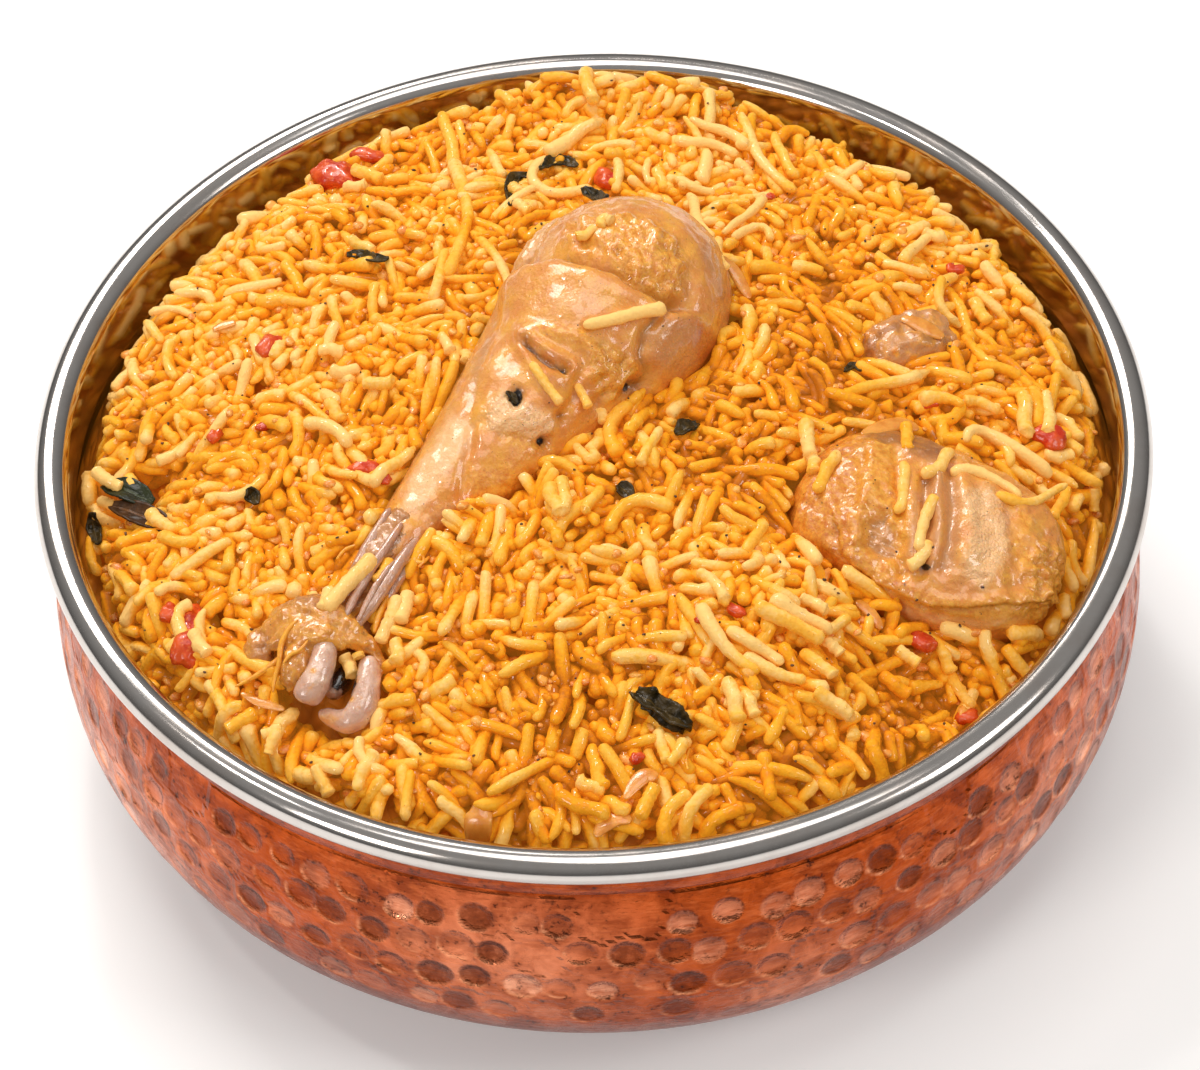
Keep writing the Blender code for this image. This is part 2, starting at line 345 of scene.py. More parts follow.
def body_profile(inset, low_steps, side_steps):
    """The bowl's side from its flat bottom to its neck as (radius, height), moved inwards by inset."""
    points = [(FOOT_RADIUS, 0.0)]
    for step in range(1, low_steps + 1):
        turn = math.pi / 2 * step / low_steps
        reach = math.sin(turn) ** (2 / BELLY_FULLNESS)
        rise = 1.0 - math.cos(turn) ** (2 / BASE_FULLNESS)
        points.append((FOOT_RADIUS + (BELLY_RADIUS - FOOT_RADIUS) * reach, BELLY_HEIGHT * rise))
    for step in range(1, side_steps + 1):
        part = step / side_steps
        points.append((BELLY_RADIUS - (BELLY_RADIUS - NECK_RADIUS) * part ** 2,
                       BELLY_HEIGHT + (NECK_HEIGHT - BELLY_HEIGHT) * part))
    line = np.array(points)
    ahead = np.vstack([line[1:], line[-1:]])
    behind = np.vstack([[0.0, 0.0], line[:-1]])
    along = ahead - behind
    along /= np.linalg.norm(along, axis=1)[:, None]
    line = line + np.stack([-along[:, 1], along[:, 0]], 1) * inset
    line[0, 1] = inset
    return [tuple(point) for point in line]


def lathe(name, profile, steps):
    """Draws an outline point by point, then spins it round Z into a closed, outward-facing body."""
    deselect()
    bpy.ops.mesh.primitive_plane_add(size=MM, location=(0, 0, 0))
    piece = bpy.context.object
    piece.name = name
    edit()
    bpy.ops.mesh.merge(type="CENTER")
    start = Vector((profile[0][0], 0, profile[0][1])) * MM
    bpy.ops.transform.translate(value=start)
    for before, after in zip(profile, profile[1:]):
        move = Vector((after[0] - before[0], 0, after[1] - before[1])) * MM
        bpy.ops.mesh.extrude_region_move(TRANSFORM_OT_translate={"value": move})
    done_editing()
    modified(piece, "Turning", "SCREW", angle=math.tau, steps=steps, render_steps=steps, use_merge_vertices=True,
             merge_threshold=2e-6, use_normal_calculate=True)
    right_way_out(piece)
    piece.data.shade_smooth()
    return piece


def roll_point(turn):
    """A point of the rim's roll, at a turn from its outermost side."""
    return (RIM_RADIUS + ROLL_WIDTH / 2 * (math.cos(turn) - 1), RIM_TOP + ROLL_HEIGHT / 2 * (math.sin(turn) - 1))


def steel_finish():
    finish = Finish("spun steel")
    lines = finish.noise(0.35, detail=2.0, stretch=(0.02, 0.02, 1.0))
    stains = finish.noise(9.0, detail=5.0, roughness=0.6)
    rough = finish.remap(stains, 0.3, 0.75, 0.10, 0.20)
    colour = finish.mix(finish.remap(stains, 0.45, 0.75), (0.62, 0.58, 0.55), (0.52, 0.46, 0.42))
    finish.set(Base_Color=colour, Roughness=rough, Metallic=1.0,
               Normal=finish.bump(lines, 0.02, 0.25))
    return finish.material


def make_liner():
    outside = body_profile(SHEET + GAP, 14, 8)
    inside = body_profile(2 * SHEET + GAP, 14, 10)
    roll = [roll_point(math.radians(-125 + 305 * step / 30)) for step in range(31)]
    profile = [(0.0, SHEET + GAP)] + outside + roll + inside[::-1] + [(0.0, 2 * SHEET + GAP)]
    settle(lathe("steel_bowl_liner", profile, 256), steel_finish(), "steel", "steel_liner")


# Rows of hammer marks: height, radius and how strongly they were struck
HAMMER_ROWS = ((45.6, 2.75, 0.9), (39.2, 2.95, 1.0), (32.4, 2.95, 1.0), (25.8, 2.8, 0.55), (19.8, 2.6, 0.25))
HAMMER_PITCH = 6.45
HAMMER_DEPTH = 0.38
HAMMER_REACH = 89.5   # the radius on which the marks are spaced
FAR_OFF = 3.0         # stands for a place well outside every mark


def hammer_marks(points):
    """For each point of the jacket, where it lies in its nearest hammer mark, and that mark's nature."""
    turn = np.arctan2(points[:, 1], points[:, 0])
    best = np.full(len(points), 99.0)
    local = np.zeros((len(points), 2))
    depth = np.zeros(len(points))
    seed = np.zeros(len(points))
    dice = rng(31)
    for row, (height, radius, strength) in enumerate(HAMMER_ROWS):
        count = int(math.tau * HAMMER_REACH / HAMMER_PITCH)
        centres = (np.arange(count) + 0.5 * (row % 2)) * math.tau / count
        centres = centres + dice.normal(0, 0.62, count) / HAMMER_REACH
        heights = height + dice.normal(0, 0.55, count)
        radii = radius * dice.uniform(0.86, 1.12, count)
        depths = strength * dice.uniform(0.35, 1.15, count) * (dice.uniform(0, 1, count) > 0.07)
        seeds = dice.uniform(0, 1, count)
        for step in (-1, 0, 1):
            index = (np.round((turn % math.tau) * count / math.tau - 0.5 * (row % 2)).astype(int) + step) % count
            gap = (turn - centres[index] + math.pi) % math.tau - math.pi
            across = gap * HAMMER_REACH
            rise = (points[:, 2] - heights[index]) * 1.06
            away = np.hypot(across, rise) / radii[index]
            closer = away < best
            best = np.where(closer, away, best)
            local[closer] = (np.stack([across, rise], 1) / radii[index][:, None])[closer]
            depth = np.where(closer, depths[index], depth)
            seed = np.where(closer, seeds[index], seed)
    return best, local, depth, seed


def copper_finish():
    finish = Finish("hammered copper")
    across = finish.attribute("mark_across")
    rise = finish.attribute("mark_rise")
    seed = finish.attribute("mark_seed")
    depth = finish.attribute("mark_depth")
    painted_reflection = finish.attribute("painted_reflection")

    times = finish.times
    blotch = finish.noise(5.5, detail=3.0, roughness=0.6, distortion=0.5)
    soot = finish.noise(1.3, detail=3.0, roughness=0.7)
    streak = finish.noise(2.0, detail=3.0, roughness=0.65, stretch=(0.5, 0.5, 2.2))
    away = finish.plus(finish.attribute("mark_away"), finish.remap(soot, 0.2, 0.8, -0.09, 0.09))
    struck = finish.remap(depth, 0.15, 0.55)
    dish = times(finish.remap(away, 0.78, 0.95, 1.0, 0.0), struck)
    edge = times(times(finish.remap(away, 0.72, 0.90), finish.remap(away, 0.92, 1.08, 1.0, 0.0)), struck)
    lower_left = finish.less(times(across, -0.55), times(rise, 0.8))
    base = finish.mix(finish.remap(blotch, 0.36, 0.66), (0.45, 0.070, 0.008), (0.22, 0.028, 0.003))
    base = finish.mix(finish.remap(streak, 0.50, 0.70, 0.0, 0.55), base, (0.60, 0.135, 0.035))
    # Painted shade: the copper darker towards the bottom of the belly
    base = finish.mix(finish.attribute("low_shade"), base, (0.20, 0.020, 0.002))
    # Painted reflection: brighter, pinker copper in the zones where lamps would shine in it
    painted_reflection = times(painted_reflection, finish.remap(blotch, 0.30, 0.60, 1.0, 0.35))
    base = finish.mix(times(painted_reflection, 0.85), base, (0.82, 0.29, 0.15))
    # Some marks painted bright: partly their own tone, partly painted reflection, strongest in the painted reflections
    wear_and_sheen = finish.remap(streak, 0.32, 0.58, 0.25, 1.0)
    bright = times(dish, wear_and_sheen, finish.remap(seed, 0.55, 0.75))
    dark = times(times(dish, finish.remap(soot, 0.3, 0.5, 0.5, 1.0)), finish.remap(seed, 0.42, 0.22))
    base = finish.mix(times(dark, 0.75), base, (0.13, 0.020, 0.004))
    base = finish.mix(times(bright, finish.remap(painted_reflection, 0.0, 0.5, 0.30, 1.0)), base, (0.94, 0.42, 0.25))
    # Painted shade and highlight in each mark: darker away from its lower left, with a bright arc on its lower-left
    # edge
    base = finish.mix(times(times(dish, finish.remap(lower_left, 0.2, -0.8)), 0.45), base, (0.14, 0.022, 0.005))
    glint = times(times(edge, finish.remap(lower_left, 0.0, 0.75)), finish.remap(streak, 0.35, 0.60, 1.0, 0.1))
    base = finish.mix(times(glint, 0.75), base, (0.93, 0.38, 0.19))
    # Painted shade: a dark edge on each mark's upper right, away from the light; it is painted near black together with
    # real soot spots
    painted_edge_shade = times(times(edge, finish.remap(lower_left, 0.15, -0.75)), finish.remap(soot, 0.44, 0.58))
    spots = times(finish.remap(soot, 0.56, 0.66), finish.remap(blotch, 0.44, 0.60))
    base = finish.mix(finish.math("MAXIMUM", times(painted_edge_shade, 0.8), times(spots, 0.85)), base, (0.050, 0.013, 0.008))
    rough = finish.remap(blotch, 0.35, 0.7, 0.22, 0.36)
    rough = finish.plus(rough, times(painted_edge_shade, 0.2))
    normal = finish.bump(times(finish.remap(away, 0.60, 0.98, 0.0, 1.0), depth), 0.30, 1.0)
    normal = finish.bump(finish.plus(streak, soot), 0.22, 0.5, after=normal)
    finish.set(Base_Color=base, Roughness=rough, Metallic=1.0, Normal=normal)
    return finish.material


# Painted reflections: where the copper is painted brighter and pinker, as if lamps shone in it: the turn, its width and
# its height, in degrees and mm
PAINTED_REFLECTIONS = ((-101, 13, 37), (-147, 13, 30), (-38, 11, 32), (-72, 6, 24), (28, 14, 34), (75, 12, 30), (130, 15, 36),
          (178, 12, 28))


def make_jacket():
    outside = body_profile(0.0, 34, 34)
    collar = [(NECK_RADIUS + 0.05, NECK_HEIGHT + 0.25), (NECK_RADIUS - 0.25, NECK_HEIGHT + 0.5),
              (NECK_RADIUS - 0.20, NECK_HEIGHT + 0.8), (NECK_RADIUS + 0.35, NECK_HEIGHT + 1.0),
              (COLLAR_RADIUS - 0.15, NECK_HEIGHT + 1.15), (COLLAR_RADIUS, NECK_HEIGHT + 1.5),
              (COLLAR_RADIUS, COLLAR_TOP - 0.9), (COLLAR_RADIUS - 0.15, COLLAR_TOP - 0.3),
              (COLLAR_RADIUS - 0.5, COLLAR_TOP), (NECK_RADIUS - SHEET, COLLAR_TOP)]
    inside = body_profile(SHEET, 7, 3)
    profile = [(0.0, 0.0), (30.0, 0.0)] + outside + collar + inside[::-1] + [(0.0, SHEET)]
    piece = lathe("hammered_copper_jacket", profile, 840)
    points = places(piece)
    away, local, depth, seed = hammer_marks(points)
    radius = np.hypot(points[:, 0], points[:, 1])
    wall = np.interp(points[:, 2], [p[1] for p in outside], [p[0] for p in outside])
    outer = (np.abs(radius - wall) < 0.3) & (points[:, 2] > 12) & (points[:, 2] < NECK_HEIGHT)
    dent = HAMMER_DEPTH * depth * np.clip(1.02 - away ** 2, -0.12, 1.0) * outer
    dent = np.where(away > 1.3, -0.12 * HAMMER_DEPTH * depth * outer * np.exp(-(away - 1.3) * 3), dent)
    dent = np.maximum(dent, 0.0)
    shrink = (radius - dent) / np.maximum(radius, 1e-6)
    points[:, 0] *= shrink
    points[:, 1] *= shrink
    put_places(piece, points)
    for name, values in (("mark_across", local[:, 0]), ("mark_rise", local[:, 1]), ("mark_away", away)):
        mark(piece, name, np.where(outer, values, FAR_OFF))
    mark(piece, "mark_seed", seed)
    mark(piece, "mark_depth", np.where(outer, depth, 0.0))
    turn = np.degrees(np.arctan2(points[:, 1], points[:, 0]))
    painted_reflection = np.zeros(len(points))
    # the painted reflections, laid round the belly
    for centre, width, height in PAINTED_REFLECTIONS:
        gap = (turn - centre + 180) % 360 - 180
        painted_reflection = np.maximum(painted_reflection, ridge(gap, width) * ridge(points[:, 2] - height, 13))
    mark(piece, "painted_reflection", painted_reflection * outer)
    # painted shade, darker towards the bottom of the belly
    mark(piece, "low_shade", 0.9 * fade(points[:, 2], 27.0, 13.0))
    settle(piece, copper_finish(), "copper", "copper_jacket")


# --- the heap's ground

CELL = 0.5
SPAN = 90.0
CELLS = int(2 * SPAN / CELL) + 1
GRID = np.linspace(-SPAN, SPAN, CELLS)
GRID_X, GRID_Y = np.meshgrid(GRID, GRID, indexing="ij")
GRID_R = np.hypot(GRID_X, GRID_Y)

CROWN = 6.5
SHOULDER = -4.0
SHOULDER_RADIUS = 80.0
EDGE_LEVEL = -10.5
EDGE_RADIUS = 84.2

# Each swell is a place on the heap, a height and how far it spreads in X and Y
SWELLS = (
    (9, 77, 8.0, 29, 9), (24, -45, 3.5, 10, 10), (53, -54, -11.5, 11, 8), (34, -26, -6.0, 4, 7),
    (77, -30, -5.0, 5, 12), (-44, -58, -3.5, 9, 7), (-74.5, -9, -8.5, 7, 9),
)


def cell_of(x, y):
    """The grid cell of a place or of many places."""
    return [np.clip(np.rint((np.asarray(v) + SPAN) / CELL).astype(int), 0, CELLS - 1) for v in (x, y)]


def look_up(field, x, y):
    i, j = cell_of(x, y)
    return field[i, j]


def upsampled(coarse, step):
    """Spreads a coarse square map over the fine grid by straight-line blending."""
    line = np.arange(coarse.shape[0]) * step - SPAN
    rows = np.array([np.interp(GRID, line, coarse[:, k]) for k in range(coarse.shape[1])]).T
    return np.array([np.interp(GRID, line, row) for row in rows])


def bumpy(size, seed, step=1.5):
    """Smooth noise over the grid from about -1 to 1, with lumps size millimetres across."""
    line = np.arange(-SPAN, SPAN + step, step)
    coarse = np.array([[noise.noise(Vector((x / size, y / size, seed))) for y in line] for x in line])
    return upsampled(coarse, step)


def heap_top():
    """The level that the rice reaches, over the whole grid."""
    height = CROWN - (CROWN - SHOULDER) * (GRID_R / SHOULDER_RADIUS) ** 2
    for x, y, rise, spread_x, spread_y in SWELLS:
        height = height + rise * np.exp(-((GRID_X - x) / spread_x) ** 2 - ((GRID_Y - y) / spread_y) ** 2)
    height = height + 2.1 * bumpy(11.0, 0.0) + 1.7 * bumpy(5.0, 9.0, 1.2)
    height = height - 5.0 * np.clip(bumpy(4.4, 12.0, 1.0) - 0.22, 0.0, 0.4)
    start = SHOULDER_RADIUS - 1.5 + 1.8 * bumpy(9.0, 3.0)
    edge = fade(GRID_R, start, start + 4.2)
    return RIM_TOP + height + (EDGE_LEVEL - height) * edge


def seen_from_above(pieces):
    """Highest and lowest points of some pieces over each grid cell, or -inf and inf beside them."""
    top = np.full((CELLS, CELLS), -np.inf)
    low = np.full((CELLS, CELLS), np.inf)
    for piece in pieces:
        points = places(piece)
        tree = BVHTree.FromPolygons(points.tolist(), [tuple(face.vertices) for face in piece.data.polygons])
        lows, highs = points.min(0), points.max(0)
        first = np.maximum(((lows[:2] + SPAN) / CELL).astype(int), 0)
        last = np.minimum(((highs[:2] + SPAN) / CELL).astype(int) + 2, CELLS)
        for i in range(first[0], last[0]):
            for j in range(first[1], last[1]):
                hit = tree.ray_cast(Vector((GRID[i], GRID[j], 200.0)), Vector((0, 0, -1)))[0]
                if hit is not None:
                    top[i, j] = max(top[i, j], hit.z)
                    under = tree.ray_cast(Vector((GRID[i], GRID[j], -50.0)), Vector((0, 0, 1)))[0]
                    low[i, j] = min(low[i, j], under.z)
    return top, low


def blurred(values, cells):
    """A box blur along both axes."""
    width = 2 * cells + 1
    for axis in (0, 1):
        padded = np.concatenate([np.repeat(np.take(values, [0], axis), cells + 1, axis), values,
                                 np.repeat(np.take(values, [-1], axis), cells, axis)], axis)
        total = np.cumsum(padded, axis)
        ahead = np.take(total, range(width, total.shape[axis]), axis)
        behind = np.take(total, range(0, total.shape[axis] - width), axis)
        values = (ahead - behind) / width
    return values


# --- laying the grains

ALONG = 15
ACROSS = np.array([-0.72, -0.38, 0.0, 0.38, 0.72])
SOFTNESS = 0.74
SINK = 0.66  # how far a grain presses in among those under it
EDGE_TURN = 74   # beyond this radius grains tend to point down the edge
SHORTEST, LONGEST = 4.6, 15.5
THINNEST = 0.74
TRIES = 22   # places tried for each grain
ROUND = 12   # grains dropped before the lowest places are looked for again


def taper(part):
    """How thick a grain is along its length, part running from -1 to 1."""
    return np.sqrt(np.clip(1 - np.abs(part) ** 8, 0, 1)) * (1 - 0.10 * part ** 2)


def centre_line(length, bend, count):
    """A grain's middle as seen from above: an arc about its own centre."""
    s = np.linspace(-0.5, 0.5, count) * length[..., None]
    curl = np.where(np.abs(bend) < 1e-3, 1e-3, bend)[..., None] / length[..., None]
    x = np.sin(curl * s) / curl
    y = (1 - np.cos(curl * s)) / curl
    return x, y - y.mean(-1, keepdims=True)


class Heap:
    """Grains that have come to rest on one another, kept as a height map and a list."""

    def __init__(self, ground, target, closed, reach):
        self.level = ground.copy()
        self.target = target
        self.closed = closed
        self.reach = reach
        self.drift = 2.6 * bumpy(24.0, 17.0) + 1.2 * bumpy(9.0, 18.0)
        self.grains = []

    def rest(self, x, y, turn, length, radius, bend):
        """Where each of several trial grains would come to rest."""
        line_x, line_y = centre_line(length, bend, ALONG)
        cos, sin = np.cos(turn)[:, None], np.sin(turn)[:, None]
        px = x[:, None] + line_x * cos - line_y * sin
        py = y[:, None] + line_x * sin + line_y * cos
        part = np.linspace(-1, 1, ALONG)
        thick = radius[:, None] * np.maximum(taper(part), 0.35)[None, :]
        across = ACROSS[None, None, :] * thick[..., None]
        wide_x = px[..., None] - sin[..., None] * across
        wide_y = py[..., None] + cos[..., None] * across
        ground = look_up(self.level, wide_x, wide_y)
        lift = np.sqrt(np.maximum(thick[..., None] ** 2 - across ** 2, 0)) * SOFTNESS
        need = (ground + lift).max(-1)
        half = ALONG // 2
        left, right = line_x[:, :half + 1], line_x[:, half:]
        c_left, c_right = need[:, :half + 1], need[:, half:]
        spread = np.maximum(right[:, None, :] - left[:, :, None], 1e-6)
        held = (c_left[:, :, None] * right[:, None, :] - c_right[:, None, :] * left[:, :, None]) / spread
        held[:, half, 0] = need[:, half]
        flat = held.reshape(len(x), -1).argmax(1)
        i, j = np.unravel_index(flat, (half + 1, ALONG - half))
        rows = np.arange(len(x))
        height = held[rows, i, j]
        slope = (c_right[rows, j] - c_left[rows, i]) / spread[rows, i, j]
        slope[(i == half) & (j == 0)] = 0.0
        touch = 0.5 * (left[rows, i] + right[rows, j])
        z = height[:, None] + slope[:, None] * line_x
        gap = z - need
        off = (line_x - touch[:, None]) ** 2
        room = np.where(off > 3.0, (gap + 0.25) / np.maximum(off, 1e-6), 1e3).min(1)
        sag = np.clip(room, 0.0, 0.07)
        z = z - sag[:, None] * off
        return px, py, z, slope

    def add(self, px, py, z, radius, **facts):
        """Leaves a grain where it lies and raises the level under it."""
        thick = radius * np.maximum(taper(np.linspace(-1, 1, len(px))), 0.3)
        fine = np.linspace(0, len(px) - 1, 3 * len(px))
        base = np.arange(len(px))
        fx, fy, fz, fr = (np.interp(fine, base, v) for v in (px, py, z, thick))
        i, j = (slice(max(int((f.min() - radius + SPAN) / CELL), 0),
                      min(int((f.max() + radius + SPAN) / CELL) + 2, CELLS))
                for f in (fx, fy))
        away = (GRID[i][:, None, None] - fx) ** 2 + (GRID[j][None, :, None] - fy) ** 2
        top = np.where(away < fr ** 2, fz + np.sqrt(np.maximum(fr ** 2 - away, 0)), -np.inf).max(-1)
        self.level[i, j] = np.maximum(self.level[i, j], top)
        self.grains.append(dict(line=np.stack([px, py, z], 1), radius=radius, **facts))

    def showing(self):
        """The grains that aren't buried out of sight under others."""
        kept = []
        for grain in self.grains:
            line, radius = grain["line"], grain["radius"]
            side = np.gradient(line[:, :2], axis=0)
            size = np.maximum(np.hypot(side[:, 0], side[:, 1]), 1e-6)
            side = np.stack([-side[:, 1], side[:, 0]], 1) / size[:, None]
            for across in (-0.8, 0.0, 0.8):
                place = line[:, :2] + side * across * radius
                top = line[:, 2] + radius * math.sqrt(1 - across ** 2)
                if (look_up(self.level, *place.T) - top < 0.5).any():
                    kept.append(grain)
                    break
        return kept

    def lie_of(self, x, y, dice, loose):
        """The way grains lie at some places: along the local drift, down the edge, or anyhow."""
        count = len(x)
        drift = look_up(self.drift, x, y) + dice.normal(0, 0.5, count)
        outward = np.arctan2(y, x) + dice.normal(0, 0.55, count)
        anyhow = dice.uniform(0, math.pi, count)
        choice = dice.uniform(0, 1, count)
        turn = np.where(choice < 1 - loose, drift, anyhow)
        edge = (np.hypot(x, y) > EDGE_TURN) & (choice < 0.55)
        return np.where(edge, outward, turn)

    def pour(self, count, seed, excess=0.4, lengths=(7.4, 1.8), tilt=0.30):
        """Drops grains one by one where the heap is lowest against its target."""
        dice = rng(seed)
        waiting = []
        for drop in range(count):
            if drop % ROUND == 0:
                want = np.maximum(blurred(self.target - self.level, 2) + 0.6, 0.0)
                want[self.closed | (GRID_R > self.reach)] = 0.0
                total = np.cumsum(want ** 1.6)
                if total[-1] <= 0:
                    break
                pick = np.searchsorted(total, dice.uniform(0, total[-1], ROUND * TRIES))
                spots_x, spots_y = GRID_X.ravel()[pick], GRID_Y.ravel()[pick]
            part = slice((drop % ROUND) * TRIES, (drop % ROUND + 1) * TRIES)
            x = spots_x[part] + dice.uniform(-0.3, 0.3, TRIES)
            y = spots_y[part] + dice.uniform(-0.3, 0.3, TRIES)
            turn = self.lie_of(x, y, dice, 0.5)
            length = np.clip(dice.normal(lengths[0], lengths[1], TRIES), SHORTEST, LONGEST)
            radius = np.clip(dice.normal(1.19, 0.13, TRIES), THINNEST, 1.45)
            bend = dice.normal(0, 0.38, TRIES)
            hooked = dice.uniform(0, 1, TRIES) < 0.22
            bend = np.where(hooked, np.sign(bend) * dice.uniform(0.8, 2.3, TRIES), bend)
            if waiting:
                like = waiting.pop()
                x[:] = like[0] + dice.normal(0, 0.9, TRIES)
                y[:] = like[1] + dice.normal(0, 0.9, TRIES)
                turn[:] = like[2] + dice.normal(0, 0.13, TRIES)
                bend[:] = like[3] + dice.normal(0, 0.10, TRIES)
            px, py, z, slope = self.rest(x, y, turn, length, radius, bend)
            lean = dice.normal(0, tilt, TRIES)
            reach = np.linspace(-0.5, 0.5, ALONG)[None, :] * length[:, None]
            z = z + lean[:, None] * reach - np.abs(lean * length)[:, None] * 0.16 - SINK
            above = z + radius[:, None] - look_up(self.target, px, py)
            score = above.mean(1) + 0.25 * np.maximum(above.max(1), 0) + 1.2 * np.maximum(np.abs(slope) - 0.5, 0)
            blocked = look_up(self.closed, px, py).mean(1)
            wall = np.hypot(px, py).max(1) > self.reach
            score = score + 40 * (blocked > 0.12) + 40 * wall + 20 * (above.max(1) > excess + 2.2)
            best = int(score.argmin())
            if score[best] > excess + 1.0:
                continue
            self.add(px[best], py[best], z[best], radius[best], kind=dice.uniform())
            if dice.uniform() < 0.30:
                for member in range(dice.randint(1, 5)):
                    aside = (2 * radius[best] * (member + 1) * 0.92) * (1 if dice.uniform() < 0.8 else -1)
                    waiting.append((px[best].mean() - math.sin(turn[best]) * aside,
                                    py[best].mean() + math.cos(turn[best]) * aside, turn[best], bend[best]))

    def poke(self, count, seed, rise=(0.1, 0.9), steep=(0.35, 1.25), evenly=0.02):
        """Tucks more grains in among the others, with one end showing."""
        dice = rng(seed)
        smoothed = blurred(blurred(self.level, 5), 5)
        gap = smoothed - self.level
        chance = np.where(self.closed | (GRID_R > self.reach - 1.0), 0.0, np.maximum(gap - 0.2, evenly) ** 1.5)
        total = np.cumsum(chance.ravel())
        pick = np.searchsorted(total, dice.uniform(0, total[-1], count))
        tops = smoothed.ravel()[pick] + dice.uniform(*rise, count)
        for spot, top_z in zip(pick, tops):
            x, y = GRID_X.ravel()[spot], GRID_Y.ravel()[spot]
            if look_up(self.level, x, y) > top_z + 0.2:
                continue
            length = dice.uniform(5.0, 9.0)
            radius = np.clip(dice.normal(1.10, 0.13), THINNEST, 1.4)
            lean = dice.uniform(*steep)
            turn = self.lie_of(np.array([x]), np.array([y]), dice, 0.6)[0] + (math.pi if dice.uniform() < 0.5 else 0.0)
            bend = dice.normal(0, 0.4)
            s = np.linspace(0, 1, ALONG)
            angle = lean + bend * (s - 0.3)
            step = length / (ALONG - 1)
            out = np.concatenate([[0], np.cumsum(np.cos(angle[1:]) * step)])
            down = np.concatenate([[0], np.cumsum(np.sin(angle[1:]) * step)])
            twist = turn + dice.normal(0, 0.25) * s
            px, py = x + out * np.cos(twist), y + out * np.sin(twist)
            pz = top_z - radius - down
            if np.hypot(px, py).max() > self.reach or look_up(self.closed, px[:5], py[:5]).any():
                continue
            self.add(px, py, pz, radius, kind=dice.uniform())
# --- the grains' shapes

def grain_pattern(name, seed, rings, sides, waists):
    """One cooked grain, drawn out ring by ring along X: half length 1, radius 1."""
    dice = rng(seed)
    deselect()
    first = rings[0][1]
    bpy.ops.mesh.primitive_circle_add(vertices=sides, radius=first, location=(-1, 0, 0), rotation=(0, math.pi / 2, 0))
    piece = bpy.context.object
    piece.name = name
    bpy.ops.object.transform_apply(location=True, rotation=True, scale=True)
    edit()
    before, size = -1.0, first
    for place, thick in rings[1:]:
        thick *= 1 + dice.normal(0, 0.05)
        bpy.ops.mesh.extrude_region_move(TRANSFORM_OT_translate={"value": (place - before, 0, 0)})
        ratio = thick / size
        bpy.ops.transform.resize(value=(1, ratio, ratio))
        before, size = place, thick
    bpy.ops.mesh.edge_face_add()
    bpy.ops.mesh.select_all(action="DESELECT")
    done_editing()
    for vert in piece.data.vertices:
        vert.select = vert.co.x < -0.999
    bpy.ops.object.mode_set(mode="EDIT")
    bpy.ops.mesh.edge_face_add()
    bpy.ops.mesh.select_all(action="SELECT")
    bpy.ops.mesh.normals_make_consistent(inside=False)
    done_editing()
    points, faces = pattern_of(piece)
    wander = dice.normal(0, 0.12, 2)
    points[:, 1] += wander[0] * np.sin(points[:, 0] * 5 + seed)
    points[:, 2] += wander[1] * np.cos(points[:, 0] * 4 + seed)
    points[:, 2] *= 0.92
    for place, depth in waists:
        points[:, 1:] *= (1 - depth * ridge(points[:, 0] - place, 0.16))[:, None]
    slant = dice.normal(0, 0.06, 2)
    points[:, 0] += points[:, 1] * np.select([points[:, 0] > 0.9, points[:, 0] < -0.9], slant, 0.0)
    quads = np.array([f for f in faces if len(f) == 4])
    caps = [f for f in faces if len(f) > 4]
    return points, quads, caps


# A grain's end: how far in from the tip, and how thick there
ROUND_END = ((0.0, 0.28), (0.05, 0.66), (0.20, 0.95))
BLUNT_END = ((0.0, 0.34), (0.045, 0.74), (0.18, 1.00))
POINTED_END = ((0.0, 0.24), (0.075, 0.52), (0.27, 0.86))
GRAIN_SIDES = 7


def rings_between(start, end, middle=(-0.42, 0.0, 0.42)):
    rings = [(-1 + away, thick) for away, thick in start]
    rings += [(place, 1.02) for place in middle]
    rings += [(1 - away, thick) for away, thick in reversed(end)]
    return rings


def grain_patterns():
    plans = [(ROUND_END, ROUND_END), (ROUND_END, BLUNT_END), (BLUNT_END, ROUND_END), (POINTED_END, BLUNT_END),
             (BLUNT_END, BLUNT_END), (ROUND_END, POINTED_END), (BLUNT_END, POINTED_END), (ROUND_END, ROUND_END)]
    dice = rng(5)
    patterns = []
    for index, (start, end) in enumerate(plans):
        waists = [(dice.uniform(-0.6, 0.6), dice.uniform(0.0, 0.16)) for waist in range(2)]
        rings = rings_between(start, end)
        patterns.append(grain_pattern(f"grain pattern {index}", 40 + index, rings, GRAIN_SIDES, waists))
    return patterns


